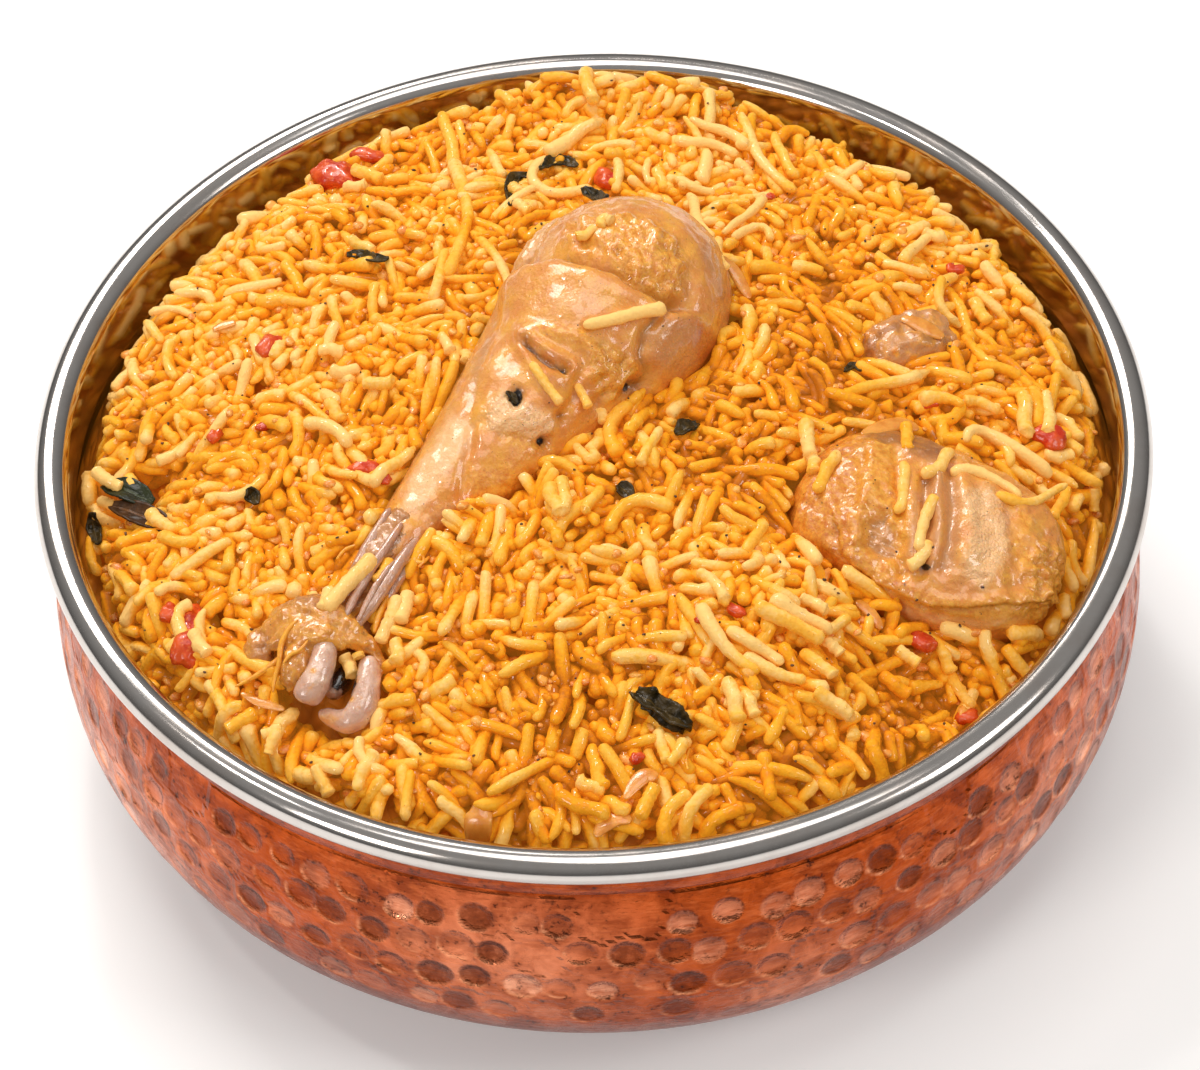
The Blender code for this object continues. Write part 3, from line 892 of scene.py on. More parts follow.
def grain_cloud(name, grains, patterns, seed, warmth_at):
    """Copies the patterns along many resting grains, and joins the copies into one piece."""
    dice = rng(seed)
    choice = dice.randint(0, len(patterns), len(grains))
    all_points, all_faces, all_warmths, start = [], [], [], 0
    for index, (shape, quads, caps) in enumerate(patterns):
        chosen = [grain for grain, pick in zip(grains, choice) if pick == index]
        if not chosen:
            continue
        lines = np.array([grain["line"] for grain in chosen])
        radii = np.array([grain["radius"] for grain in chosen])
        count = len(chosen)
        where = np.clip((shape[:, 0] + 1) / 2, 0, 1) * (lines.shape[1] - 1)
        low = np.clip(where.astype(int), 0, lines.shape[1] - 2)
        part = (where - low)[None, :, None]
        centre = lines[:, low] * (1 - part) + lines[:, low + 1] * part
        slope = np.gradient(lines, axis=1)
        along = slope[:, low] * (1 - part) + slope[:, low + 1] * part
        along /= np.linalg.norm(along, axis=2, keepdims=True)
        side = np.cross(np.array([0.0, 0.0, 1.0])[None, None], along)
        side /= np.maximum(np.linalg.norm(side, axis=2, keepdims=True), 1e-6)
        above = np.cross(along, side)
        roll = dice.uniform(0, math.tau, count)[:, None] + dice.normal(0, 0.35, count)[:, None] * shape[None, :, 0]
        slim = 1 + dice.normal(0, 0.11, count)[:, None] * shape[None, :, 0]
        out_a = shape[None, :, 1] * np.cos(roll) - shape[None, :, 2] * np.sin(roll)
        out_b = shape[None, :, 1] * np.sin(roll) + shape[None, :, 2] * np.cos(roll)
        out = side * out_a[..., None] + above * out_b[..., None] * 0.96
        points = centre + out * (radii[:, None] * slim)[..., None]
        all_points.append(points.reshape(-1, 3))
        offsets = start + np.arange(count) * len(shape)
        all_faces.extend((quads[None] + offsets[:, None, None]).reshape(-1, 4).tolist())
        for cap in caps:
            all_faces.extend((np.array(cap)[None] + offsets[:, None]).tolist())
        seeds = dice.uniform(-1, 1, count)[:, None] * 0.19
        lean = dice.normal(0, 0.07, count)[:, None] * shape[None, :, 0]
        all_warmths.append((seeds + lean + dice.normal(0, 0.035, lean.shape)).ravel())
        start += count * len(shape)
    points = np.vstack(all_points)
    piece = mesh_piece(name, points, all_faces)
    mark(piece, "grain_warmth", np.concatenate(all_warmths) + warmth_at(points))
    return piece


def rice_skin():
    """The shared look of cooked rice: its colour, where it's wet, and its fine unevenness."""
    skin = Group("rice skin", "Warmth")
    grit = skin.noise(0.75, detail=1.0)
    warm = skin.plus(skin.attribute("grain_warmth"), skin.input("Warmth"), skin.remap(grit, 0.3, 0.7, -0.08, 0.08))
    colour = skin.mix(skin.remap(grit, 0.765, 0.80, 0.0, 0.75), skin.ramp(warm, *RICE_TONES), (0.30, 0.10, 0.02))
    skin.output("Colour", colour, "NodeSocketColor")
    skin.output("Wet", skin.remap(grit, 0.51, 0.64, 0.0, 0.9))
    skin.output("Normal", skin.bump(grit, 0.20, 0.8), "NodeSocketVector")
    return skin.tree


def rice_finish(name, warmth, skin):
    finish = Finish(name)
    look = finish.call(skin, Warmth=warmth)
    # The emission is painted light: a golden glow in place of light let through the grains
    finish.set(Base_Color=look["Colour"], Roughness=0.5, Normal=look["Normal"], Specular_IOR_Level=0.1,
               Coat_Weight=look["Wet"], Coat_Roughness=0.08, Emission_Color=PAINTED_GLOW, Emission_Strength=0.13)
    finish.material.cycles.emission_sampling = "NONE"
    return finish.material


# A faint golden emission on the rice: painted light that stands in for the light wet rice lets through, and fills the
# gaps with a glow
PAINTED_GLOW = (1.0, 0.40, 0.025)
# The rice's colours from its palest to its warmest; the darkest, reached by grains deep in the gaps, are painted shade
RICE_TONES = ((0.00, (0.87, 0.56, 0.190)), (0.22, (0.85, 0.445, 0.060)), (0.44, (0.82, 0.345, 0.012)),
              (0.68, (0.74, 0.230, 0.004)), (0.95, (0.38, 0.085, 0.002)))
# Each kind of grain: how warm its colour is
RICE_KINDS = {"rice_pale": -0.10, "rice_cream": -0.04, "rice_yellow": 0.0, "rice_warm_yellow": 0.02,
              "rice_golden": 0.06, "rice_orange": 0.12}


def core_finish():
    finish = Finish("rice below the grains")
    patch = finish.noise(5.0, detail=1.0)
    grainy = finish.cells(2.2, stretch=(1.0, 0.45, 1.0))
    base = finish.mix(finish.remap(patch, 0.3, 0.7), (0.85, 0.30, 0.015), (0.75, 0.19, 0.006))
    # Painted shade: darker away from the cells' centres, as in the gaps between grains
    base = finish.mix(finish.remap(grainy, 0.25, 0.75), base, (0.50, 0.14, 0.01))
    finish.material.cycles.emission_sampling = "NONE"
    # Painted light: a faint golden glow from the emission
    finish.set(Base_Color=base, Roughness=0.6, Specular_IOR_Level=0.2, Emission_Color=PAINTED_GLOW, Emission_Strength=0.03,
               Normal=finish.bump(finish.remap(grainy, 0.0, 0.8, 1.0, 0.0), 1.0, 1.0))
    return finish.material


def make_core(ground):
    """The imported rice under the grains: a closed body with a grainy, dented top."""
    sides, rings = 150, 46
    turns = np.arange(sides) * math.tau / sides
    inside = body_profile(2 * SHEET + GAP + 0.4, 12, 12)
    middle = np.array([[0.0, 0.0, ground[CELLS // 2, CELLS // 2]]])
    reach = EDGE_RADIUS - 0.9
    rows = []
    for ring in range(1, rings + 1):
        radius = reach * ring / rings
        x, y = radius * np.cos(turns), radius * np.sin(turns)
        rows.append(np.stack([x, y, look_up(ground, x, y)], 1))
    lowest = rows[-1][:, 2].min()
    for radius, height in inside[::-1]:
        if height < lowest - 1.0:
            rows.append(np.stack([radius * np.cos(turns), radius * np.sin(turns), np.full(sides, height)], 1))
    points = np.vstack([middle] + rows + [np.array([[0, 0, rows[-1][0, 2]]])])
    faces = []
    after = (np.arange(sides) + 1) % sides
    last = 1 + (len(rows) - 1) * sides
    for side in range(sides):
        faces.append((0, 1 + side, 1 + after[side]))
        faces.append((len(points) - 1, last + after[side], last + side))
    for row in range(len(rows) - 1):
        upper, lower = 1 + row * sides, 1 + (row + 1) * sides
        for side in range(sides):
            faces.append((upper + side, lower + side, lower + after[side], upper + after[side]))
    settle(mesh_piece("rice_core", points, faces), core_finish(), "rice", "rice_heap")


# --- the eye's chart

BACK = np.array([0.0, -math.cos(VIEW_ELEVATION), math.sin(VIEW_ELEVATION)])
RIGHT = np.array([1.0, 0.0, 0.0])
UP = np.cross(BACK, RIGHT)
EYE_ACROSS = RIGHT * math.cos(VIEW_ROLL) + UP * math.sin(VIEW_ROLL)
EYE_UP = -RIGHT * math.sin(VIEW_ROLL) + UP * math.cos(VIEW_ROLL)
RIM_CENTRE = np.array([0.0, 0.0, RIM_TOP])
EYE = BACK * VIEW_DISTANCE - EYE_ACROSS * VIEW_ASIDE - EYE_UP * VIEW_ABOVE + RIM_CENTRE


def chart(points):
    """Places on a sheet held square to the eye at the rim's centre: millimetres aside and up."""
    away = np.asarray(points) - RIM_CENTRE
    depth = VIEW_DISTANCE - away @ BACK
    aside = (away @ EYE_ACROSS + VIEW_ASIDE) * VIEW_DISTANCE / depth
    above = (away @ EYE_UP + VIEW_ABOVE) * VIEW_DISTANCE / depth
    return np.stack([aside, above], -1)


def sight(place):
    """The line of sight through a place on the chart."""
    line = EYE_ACROSS * place[0] / VIEW_DISTANCE + EYE_UP * place[1] / VIEW_DISTANCE - BACK
    return line / np.linalg.norm(line)


def at_height(place, height):
    line = sight(place)
    return EYE + line * (height - EYE[2]) / line[2]


def near_line(spots, line):
    """Distance of each spot from a line of chart places, and which side it's on (left is plus)."""
    best = np.full(len(spots), 1e9)
    side = np.ones(len(spots))
    for start, end in zip(line, line[1:]):
        way = end - start
        part = np.clip(((spots - start) @ way) / (way @ way), 0, 1)
        away = spots - (start + part[:, None] * way)
        distance = np.hypot(away[:, 0], away[:, 1])
        closer = distance < best
        best = np.where(closer, distance, best)
        turn = way[0] * (spots[:, 1] - start[1]) - way[1] * (spots[:, 0] - start[0])
        side = np.where(closer, np.sign(turn), side)
    return best, side


def blob(spots, centre, radii, turn=0.0, power=2.0):
    """A soft oval mark, 1 in the middle and fading to 0."""
    turn = math.radians(turn)
    away = spots - np.array(centre)
    x = (away[:, 0] * math.cos(turn) + away[:, 1] * math.sin(turn)) / radii[0]
    y = (-away[:, 0] * math.sin(turn) + away[:, 1] * math.cos(turn)) / radii[1]
    return np.exp(-(x * x + y * y) ** (power / 2))


def inside(spots, line):
    """Whether each spot lies inside an outline of chart places."""
    result = np.zeros(len(spots), dtype=bool)
    for start, end in zip(line, np.roll(line, -1, 0)):
        crosses = (start[1] > spots[:, 1]) != (end[1] > spots[:, 1])
        rise = end[1] - start[1] if end[1] != start[1] else 1e-9
        result ^= crosses & (spots[:, 0] < (end[0] - start[0]) * (spots[:, 1] - start[1]) / rise + start[0])
    return result


def patch(spots, soft, *tenths):
    """A mark that fills an outline of beads, and fades over soft millimetres at its edge."""
    outline = trace(*tenths)
    distance = near_line(spots, np.vstack([outline, outline[:1]]))[0]
    return fade(np.where(inside(spots, outline), distance, -distance), -soft, soft)


def line_mark(spots, line, width):
    return ridge(near_line(spots, line)[0], width)


def crinkle(points, size, seed, octaves=2):
    """Noise at each point from about -1 to 1."""
    place = Vector((seed * 7.1, seed * 3.3, seed))
    result = np.empty(len(points))
    for index, point in enumerate(points):
        result[index] = noise.fractal(Vector(point) / size + place, 1.0, 2.0, octaves)
    return result


def normals_of(piece):
    values = np.empty(len(piece.data.vertices) * 3, dtype=np.float32)
    piece.data.vertex_normals.foreach_get("vector", values)
    return values.reshape(-1, 3).astype(float)


def spline(stations, count):
    """Smooth points through stations, evenly over their number."""
    stations = np.asarray(stations, dtype=float)
    padded = np.vstack([stations[:1], stations, stations[-1:]])
    result = []
    for place in np.linspace(0, len(stations) - 1, count):
        index = min(int(place), len(stations) - 2)
        t = place - index
        a, b, c, d = padded[index:index + 4]
        result.append(0.5 * (2 * b + (c - a) * t + (2 * a - 5 * b + 4 * c - d) * t ** 2
                             + (3 * b - a - 3 * c + d) * t ** 3))
    return np.array(result)


def swept(name, stations, flatness=1.0, sides=12, rings=14, levels=1):
    """Draws a ball out along stations of (x, y, z, half width) and smooths it."""
    deselect()
    bpy.ops.mesh.primitive_uv_sphere_add(segments=sides, ring_count=rings, radius=1.0)
    piece = bpy.context.object
    piece.name = name
    ball = np.array([vert.co[:] for vert in piece.data.vertices])
    along = np.arccos(np.clip(ball[:, 2], -1, 1)) / math.pi
    turn = np.arctan2(ball[:, 1], ball[:, 0])
    count = 8 * rings + 1
    line = spline(stations, count)
    steps = np.gradient(line[:, :3], axis=0)
    steps /= np.linalg.norm(steps, axis=1)[:, None]
    index = np.clip(np.rint(along * (count - 1)).astype(int), 0, count - 1)
    direction = steps[index]
    across = np.cross(direction, [0, 0, 1.0])
    across /= np.maximum(np.linalg.norm(across, axis=1), 1e-6)[:, None]
    above = np.cross(across, direction)
    width = np.maximum(line[index, 3], 0.05)
    width = np.where((along < 1e-3) | (along > 1 - 1e-3), 0.0, width)
    points = (line[index, :3] + across * (np.cos(turn) * width)[:, None]
              + above * (np.sin(turn) * width * flatness)[:, None])
    put_places(piece, points)
    right_way_out(piece)
    modified(piece, "Smoothing", "SUBSURF", levels=levels, render_levels=levels)
    piece.data.shade_smooth()
    return piece


def chain(name, *tenths, **shape):
    """A strand through beads: their places on the chart, heights and half widths."""
    stations = [(*at_height(bead[:2], bead[2]), bead[3]) for bead in beads(tenths, 4)]
    return swept(name, stations, **shape)


def block(name, centre, radii, turn, dip, squareness, cuts):
    """A cube cut finely and rounded towards an egg, then set in its place."""
    deselect()
    bpy.ops.mesh.primitive_cube_add(size=2.0)
    piece = bpy.context.object
    piece.name = name
    edit()
    bpy.ops.mesh.subdivide(number_cuts=cuts)
    done_editing()
    cube = np.array([vert.co[:] for vert in piece.data.vertices])
    cube = np.tan(cube * math.pi / 4 * 0.97)
    ball = cube / np.linalg.norm(cube, axis=1)[:, None]
    reach = (np.abs(ball) ** squareness).sum(1) ** (-1 / squareness)
    points = ball * reach[:, None] * np.array(radii)
    place = Matrix.Rotation(turn, 3, "Z") @ Matrix.Rotation(dip, 3, "Y")
    points = points @ np.array(place).T + np.array(centre)
    put_places(piece, points)
    piece.data.shade_smooth()
    return piece


# --- chicken

DRUMSTICK = (
    (-38.2, -46.0, 60.2, 2.2), (-36.6, -40.5, 61.0, 3.2), (-34.1, -34.2, 62.2, 3.8),
    (-31.4, -28.3, 63.0, 4.3), (-26.7, -20.7, 63.7, 6.0), (-19.5, -12.7, 64.5, 9.0),
    (-10.6, -2.0, 65.4, 12.7), (-1.4, 10.1, 66.0, 16.6), (5.2, 20.5, 66.4, 18.2),
    (9.4, 29.0, 66.4, 16.0), (12.2, 35.2, 66.2, 10.5), (13.2, 37.5, 66.1, 3.0),
)
MEAT_MARKS = ("gold", "grey", "pale", "brown", "red", "dark", "wet", "rough")


def paint(piece, **marks):
    for name in MEAT_MARKS:
        values = marks.get(name)
        mark(piece, name, np.clip(values, 0, 1) if values is not None else np.zeros(len(piece.data.vertices)))


def make_drumstick():
    piece = swept("drumstick", DRUMSTICK, 0.86, 24, 30, 3)
    points = places(piece)
    out = normals_of(piece)
    facing = fade(out @ BACK, -0.15, 0.35)
    spots = chart(points)
    ripple = crinkle(points, 3.2, 1.0)
    fine = crinkle(points, 1.3, 2.0)
    warped = spots + np.stack([ripple, crinkle(points, 3.2, 5.0)], 1) * 0.35

    crease = trace(-153, 403, 18, 21, 22, 14, 47, 5, 47, -11, 40, -13, 34, -23, 40, -21, 27, -13)
    away, side = near_line(warped, crease)
    far = side > 0
    height = np.where(far, -3.3 * np.exp(-away / 3.2), 1.1 * ridge(away - 1.5, 2.6) - 0.9 * ridge(away, 0.7))
    height *= patch(spots, 2.5, -164, 499, 325, 0, 0, -149, -97, -20, -225, 16)

    lobe_edge = trace(122, 369, -33, -19, -20, -28, -5, -27, 13, -32, -13, -29)
    height -= 1.3 * line_mark(warped, lobe_edge, 1.0)
    for rise, *swelling in ((1.5, (13.7, 31.1), (8.5, 7.0), 20), (1.6, (-4.0, 37.1), (10.0, 5.5), -12),
                            (1.3, (8.9, 46.7), (9.0, 6.0), -10), (0.8, (-13.7, 21.7), (6.0, 7.0), 20),
                            (0.9, (-13.7, 9.2), (7.5, 3.6), 25)):
        height += rise * blob(spots, *swelling)

    slit = trace(-118, 306, 21, -18, 20, -13, 22, -9)
    away, side = near_line(spots, slit)
    height += -1.9 * ridge(away, 0.55) + np.where(side > 0, 1.1, 0.3) * ridge(away - 1.3, 0.9)
    for line, depth, width in (
        (trace(-129, 329, 40, 0, 49, -12, 37, -22, 3, -32, -24, -10), 0.7, 0.9),
        (trace(-129, 314, 16, -40, 29, -48, 23, -25), 0.7, 0.9), (trace(-84, 253, 13, -23, 15, -17), 0.6, 0.8),
        (trace(-40, 250, -5, -33, -19, -24), -0.8, 0.8), (trace(-8, 282, 8, -40, -6, -41), -0.7, 0.9),
        (trace(-190, 185, 16, -19, 45, -7, 40, -9), -0.5, 0.9), (trace(-89, 150, 18, -26, -6, -19), -0.8, 0.9),
        (trace(-161, 379, -24, -81, -18, -72, -6, -49), -0.5, 1.2),
        (trace(-209, 177, -7, -40, -5, -40, -3, -41), -1.1, 0.9),
        (trace(64, 516, 46, -34, 25, -42, 10, -45), -0.5, 1.2), (trace(21, 504, 43, -37, 25, -48), -0.4, 1.0),
    ):
        height += depth * line_mark(warped, line, width)
    for place, size, depth in (((-13.5, 22.1), 1.2, 1.8), ((-9.0, 15.0), 1.0, 1.7), ((5.2, 23.7), 1.5, 2.2),
                               ((-6.1, 19.2), 0.9, 1.4)):
        height -= depth * blob(spots, place, (size, size))

    lumps = crinkle(points, 1.7, 3.0, 2)
    gold_mass = patch(warped, 1.2, 10, 511, 54, 3, 52, -32, 23, -42, -4, -55, -32, 0, -45, 19, -39, 29, -13, 42)
    masala = patch(warped, 1.0, -16, 306, 51, -8, 29, -26, -12, -30, -33, -21, -25, 9, -10, 39)
    top_bits = patch(warped, 1.2, -64, 507, 74, 9, 9, -65, -35, -11, -45, 11)
    rough = patch(warped, 1.0, -180, 221, 29, 9, 38, -16, 42, -29, -13, -32, -48, 3, -52, 13)
    height += (1.1 * gold_mass + 1.2 * masala + 0.9 * top_bits) * (0.25 + lumps)
    height += 0.35 * rough * fine + 0.12 * fine + 0.28 * ripple
    height *= facing
    shank = patch(spots, 2.0, -226, 56, 17, 113, -25, 40, -120, -153, -81, -225, 161, 129)
    height = height * (1 - 0.6 * shank) + 0.25 * shank * crinkle(points, 2.4, 9.0)
    swell(piece, points, out, height)

    purple = patch(warped, 1.6, 64, 330, 33, 23, 48, -3, 26, -28, -10, -43, -45, -26, -35, 19)
    rim_right = patch(warped, 1.6, 161, 483, 36, -43, 16, -61, -7, -81, -19, -35, -16, 9, 16, 74, -13, 65, -23, 45)
    red_edge = patch(warped, 1.6, 145, 343, 35, -13, 4, -35, -20, -29, -19, 16)
    left_edge = patch(warped, 1.2, -135, 440, -18, -61, -27, -81, -20, -72, -22, -41, 13, 81, 22, 80, 23, 65)
    gold = most([
        gold_mass * 0.95, masala, top_bits * 0.55,
        0.9 * patch(warped, 0.9, -161, 169, 32, -3, 36, -23, -10, -14, -50, 14),
        0.85 * patch(warped, 1.8, -209, 105, 48, 16, 72, -3, 12, -13, -52, -45, -58, -36, -29, 13),
        0.95 * patch(warped, 1.0, -129, 337, 73, 1, 56, -24, 6, -26, -70, 23, -41, 0),
        0.45 * patch(warped, 2.0, -42, 250, 52, -20, -16, -61, -58, -40, -7, 40),
        0.35 * blob(warped, (-1.6, 39.5), (9, 4), -20),
    ])
    # Painted shade: greyer and browner towards the drumstick's edges, as they turn away from the view
    turned = fade(out @ BACK, 0.72, 0.25)
    grey = most([purple * 0.6, 0.55 * turned, 0.6 * fade(spots[:, 1], -2.0, -6.0), rim_right * 0.65, left_edge * 0.7,
                              0.45 * blob(warped, (-6.4, 50.4), (7, 2.5), 10),
                              0.6 * patch(warped, 1.4, -290, -16, 64, 48, 10, 24, -42, -8, -64, -64)])
    # Pale marks: paler skin, and painted highlights on the rough patch and across the top of the bulb, where the light
    # falls
    pale = most([
        0.95 * patch(warped, 1.6, -238, 198, 35, -16, -13, -39, -42, -58, -32, -48, -35, 0, 16, 52, 35, 54),
        0.75 * rough, 0.5 * blob(warped, (-4.0, 36.9), (7.0, 3.0), -8),
        0.4 * blob(warped, (-16.1, 25.8), (3.0, 7.0), 15),
        0.5 * patch(warped, 1.0, -137, 419, 48, 72, 25, 13, -7, -22, -42, -52)])
    # Brown marks: painted shade in the slit, along the crease and the lobe's edge, and on the sides turned away from
    # the view; with a brown lower end and right rim
    brown = most([
        0.8 * line_mark(spots, slit, 0.7), 0.8 * line_mark(warped, crease, 0.75) * facing,
        0.75 * fade(spots[:, 1], -3.5, -8.0) * facing,
        0.5 * line_mark(warped, lobe_edge, 0.9), 0.7 * rim_right * fade(ripple, -0.2, 0.6),
        0.8 * (1 - facing), 0.25 * turned * fade(ripple, -0.4, 0.4)])
    # Near-black marks: painted shade in three of the holes pressed in above, and three small dark spots
    dark = most([strength * blob(spots, place, size, turn, 3) for strength, place, size, turn in (
        (1.0, (-13.5, 22.1), (1.1, 1.6), -20), (0.95, (-9.0, 14.8), (0.9, 0.7), 0), (0.95, (5.0, 23.5), (1.2, 0.9), 0),
        (0.6, (0.0, 30.6), (0.5, 0.5), 0), (0.5, (-11.6, 31.4), (0.4, 0.4), 0), (0.7, (-6.0, 26.6), (0.5, 0.4), 0))])
    paint(piece, gold=gold * facing, grey=grey, pale=pale * facing, brown=brown, red=red_edge * 0.9, dark=dark * facing,
          wet=np.maximum(purple, 0.5 + 0.5 * blob(spots, (-4.0, 36.9), (8, 3.5), -8)),
          rough=most([rough, 0.6 * masala, 0.5 * gold_mass, 0.35 * blob(spots, (-6.4, 37.9), (8, 4), -8)]))
    return piece


FLANK_TOP = 39.1493   # above this place on the chart the folds belong to the far end


def make_flank():
    """The loose grey skin along the drumstick's left side, and the fold over its far end."""
    piece = joined("drumstick_skin_folds", [
        chain("flank_skin", -148, 440, 635, 8, -13, -37, -7, 12, -19, -49, -8, 8, -18, -53, -8, -4, -11, -43, -2, -8,
              -13, -37, -2, -8,
              flatness=0.8, sides=14, rings=18, levels=2),
        chain("fold_strip", -52, 512, 715, 7, -25, -19, 11, 8, -24, -29, 4, 4, -23, -32, -10, -2, -18, -31, -25, -8,
              flatness=0.75, sides=14, rings=18, levels=2)])
    points = places(piece)
    spots = chart(swell(piece, points, normals_of(piece), 0.25 * crinkle(points, 1.8, 12.0)))
    strip = spots[:, 1] > FLANK_TOP
    glint = blob(spots, (-8.4, 48.2), (1.2, 3.5), -35)
    paint(piece, grey=np.where(strip, 0.55, 0.95), pale=np.where(strip, 0.35 + 0.6 * glint, 0.0),
          wet=np.where(strip, 0.8, 0.5),
          brown=np.where(strip, 0.0, 0.45))
    return piece


def joined(name, pieces):
    deselect()
    for piece in pieces:
        piece.select_set(True)
    bpy.context.view_layer.objects.active = pieces[0]
    if len(pieces) > 1:
        bpy.ops.object.join()
    pieces[0].name = name
    pieces[0].data.name = name
    return pieces[0]


THIGH_CENTRE = (51.5, -26.2, 58.5)
THIGH_RADII = (21.8, 15.8, 9.8)
THIGH_TURN = math.radians(-29)
THIGH_DIP = math.radians(7)


def make_thigh():
    piece = block("thigh", THIGH_CENTRE, THIGH_RADII, THIGH_TURN, THIGH_DIP, 2.6, 70)
    points = places(piece)
    out = normals_of(piece)
    facing = fade(out @ BACK, -0.3, 0.3)
    spots = chart(points)
    ripple = crinkle(points, 3.4, 21.0)
    fine = crinkle(points, 1.2, 22.0)
    warped = spots + np.stack([ripple, crinkle(points, 3.4, 25.0)], 1) * 0.4
    height = 0.45 * ripple + 0.14 * fine
    grooves = [
        (trace(524, 92, 3, -52, -3, -56, -7, -48), -1.5, 1.0), (trace(565, 105, 4, -49, -5, -56, -10, -50), -1.1, 1.0),
        (trace(545, 101, 3, -61, -5, -80), 0.6, 1.0), (trace(588, 89, 5, -65, -5, -64), 0.7, 1.6),
        (trace(480, 129, 3, -73, -3, -72, 8, -48), -1.2, 1.1), (trace(438, 137, -6, -65, -26, -56, 10, -56), 0.9, 1.4),
        (trace(403, 97, -13, -49, -7, -48), -0.5, 1.0), (trace(657, 48, 13, -64, -6, -65), -0.5, 1.2),
    ]
    for line, depth, width in grooves:
        height += depth * line_mark(warped, line, width)
    hollow = patch(warped, 1.2, 432, 24, 27, 13, 18, -29, -3, -42, -23, -6, -22, 24)
    height -= 1.6 * hollow
    edge = trace(379, 24, 16, -56, 43, -40, 45, -20, 49, -19, 56, -3, 73, 3, 56, 6)
    away, side = near_line(warped, edge)
    height += 0.8 * ridge(away - 0.4, 1.5) * np.where(side > 0, 1, 0.4) - 0.35 * ridge(away, 1.2) * (side < 0)
    lumps = crinkle(points, 1.6, 23.0)
    left_gold = patch(warped, 1.5, 387, 105, 48, 48, 56, -8, 16, -89, -24, -145, -64, 25, -39, 72)
    right_gold = patch(warped, 1.6, 701, -8, 40, -8, 13, -73, -21, -61, -48, 0, -8, 45)
    height += 0.5 * left_gold * lumps + 0.8 * right_gold * (lumps + 0.2)
    blister = patch(warped, 1.6, 572, 69, 56, 12, 36, -33, -3, -80, -41, -57, -40, 25, 13, 72)
    height += 0.22 * blister * crinkle(points, 1.5, 24.0)
    spots = chart(swell(piece, points, out, height * (0.25 + 0.75 * facing)))
    gold = most([
        0.95 * fade(warped[:, 0], 45.5, 40.5) * fade(warped[:, 1], -10.5, -7.5),
        left_gold * (0.72 + 0.28 * fade(ripple, -0.6, 0.3)) * (1 - 0.8 * hollow), 0.9 * right_gold,
        0.95 * patch(warped, 0.5, 664, -8, 16, 8, 19, -40, -3, -37, -16, 5, -7, 32),
        0.9 * patch(warped, 0.5, 644, -64, 17, 4, 6, -19, -19, -3),
        line_mark(warped, trace(419, -64, 58, -21, 47, -20, 64, -13, 89, 4), 2.0),
        0.8 * line_mark(warped, trace(661, 56, 19, -24, 13, -24), 0.9)])
    grey = most([
        line_mark(warped, trace(532, 92, 3, -68, -10, -72), 1.9),
        0.95 * line_mark(warped, trace(567, 89, 2, -81, -10, -56), 1.5),
        hollow, 0.7 * patch(warped, 1.4, 491, 72, 41, 9, 0, -121, -41, 0),
        0.6 * patch(warped, 2.0, 516, 145, 64, -8, -3, -81, -53, 0),
        0.35 * patch(warped, 2.0, 491, -40, 89, 0, 81, -65, -129, 0)])
    # Pale marks: the blister, partly pale skin and partly a painted highlight, and another pale patch
    pale = np.maximum(blister * (0.65 + 0.35 * fade(fine, -0.4, 0.5)),
                      0.55 * patch(warped, 1.2, 403, -40, 80, -65, 161, -29, 65, 13, -65, -29, -161, 10, -88, 68))
    # Brown: a patch, and painted shade on the sides turned away from the view
    brown = most([0.85 * patch(warped, 2.0, 403, 188, 104, 21, 73, -40, -32, -51, -97, 19, -56, -16),
                               0.9 * (1 - fade(out @ BACK, -0.55, 0.15))])
    red = 0.45 * fade(warped[:, 0], 45.0, 39.5) + 0.5 * line_mark(warped, trace(649, 56, 12, -48),
                                                                  1.0) + 0.4 * line_mark(warped,
                                                                                         trace(477, -77, 71, -24), 0.8)
    paint(piece, gold=gold, grey=grey, pale=pale, brown=brown, red=red,
          dark=np.maximum(0.9 * blob(spots, (52.5, -5.2), (0.9, 0.7), 0, 3),
                          0.6 * blob(spots, (49.1, -8.1), (0.4, 0.4), 0, 3)),
          wet=np.maximum(blister, 0.5 + 0.5 * hollow), rough=np.maximum(blister, 0.6 * right_gold))
    return piece


SMALL_PIECE = ((52.0, 12.0, 62.8), (8.0, 5.5, 4.2), math.radians(20))


def make_small_piece():
    piece = block("small_piece", *SMALL_PIECE, 0.0, 2.4, 26)
    points = places(piece)
    points = swell(piece, points, normals_of(piece), 0.7 * crinkle(points, 3.0, 31.0) + 0.2 * crinkle(points, 1.1,
                                                                                                      32.0))
    ripple = crinkle(points, 3.0, 33.0)
    paint(piece, grey=fade(ripple, -0.2, 0.4), brown=fade(ripple, 0.5, -0.5) * 0.7, gold=fade(ripple, 0.3, 0.8),
          wet=0.4 + 0 * ripple)
    return piece


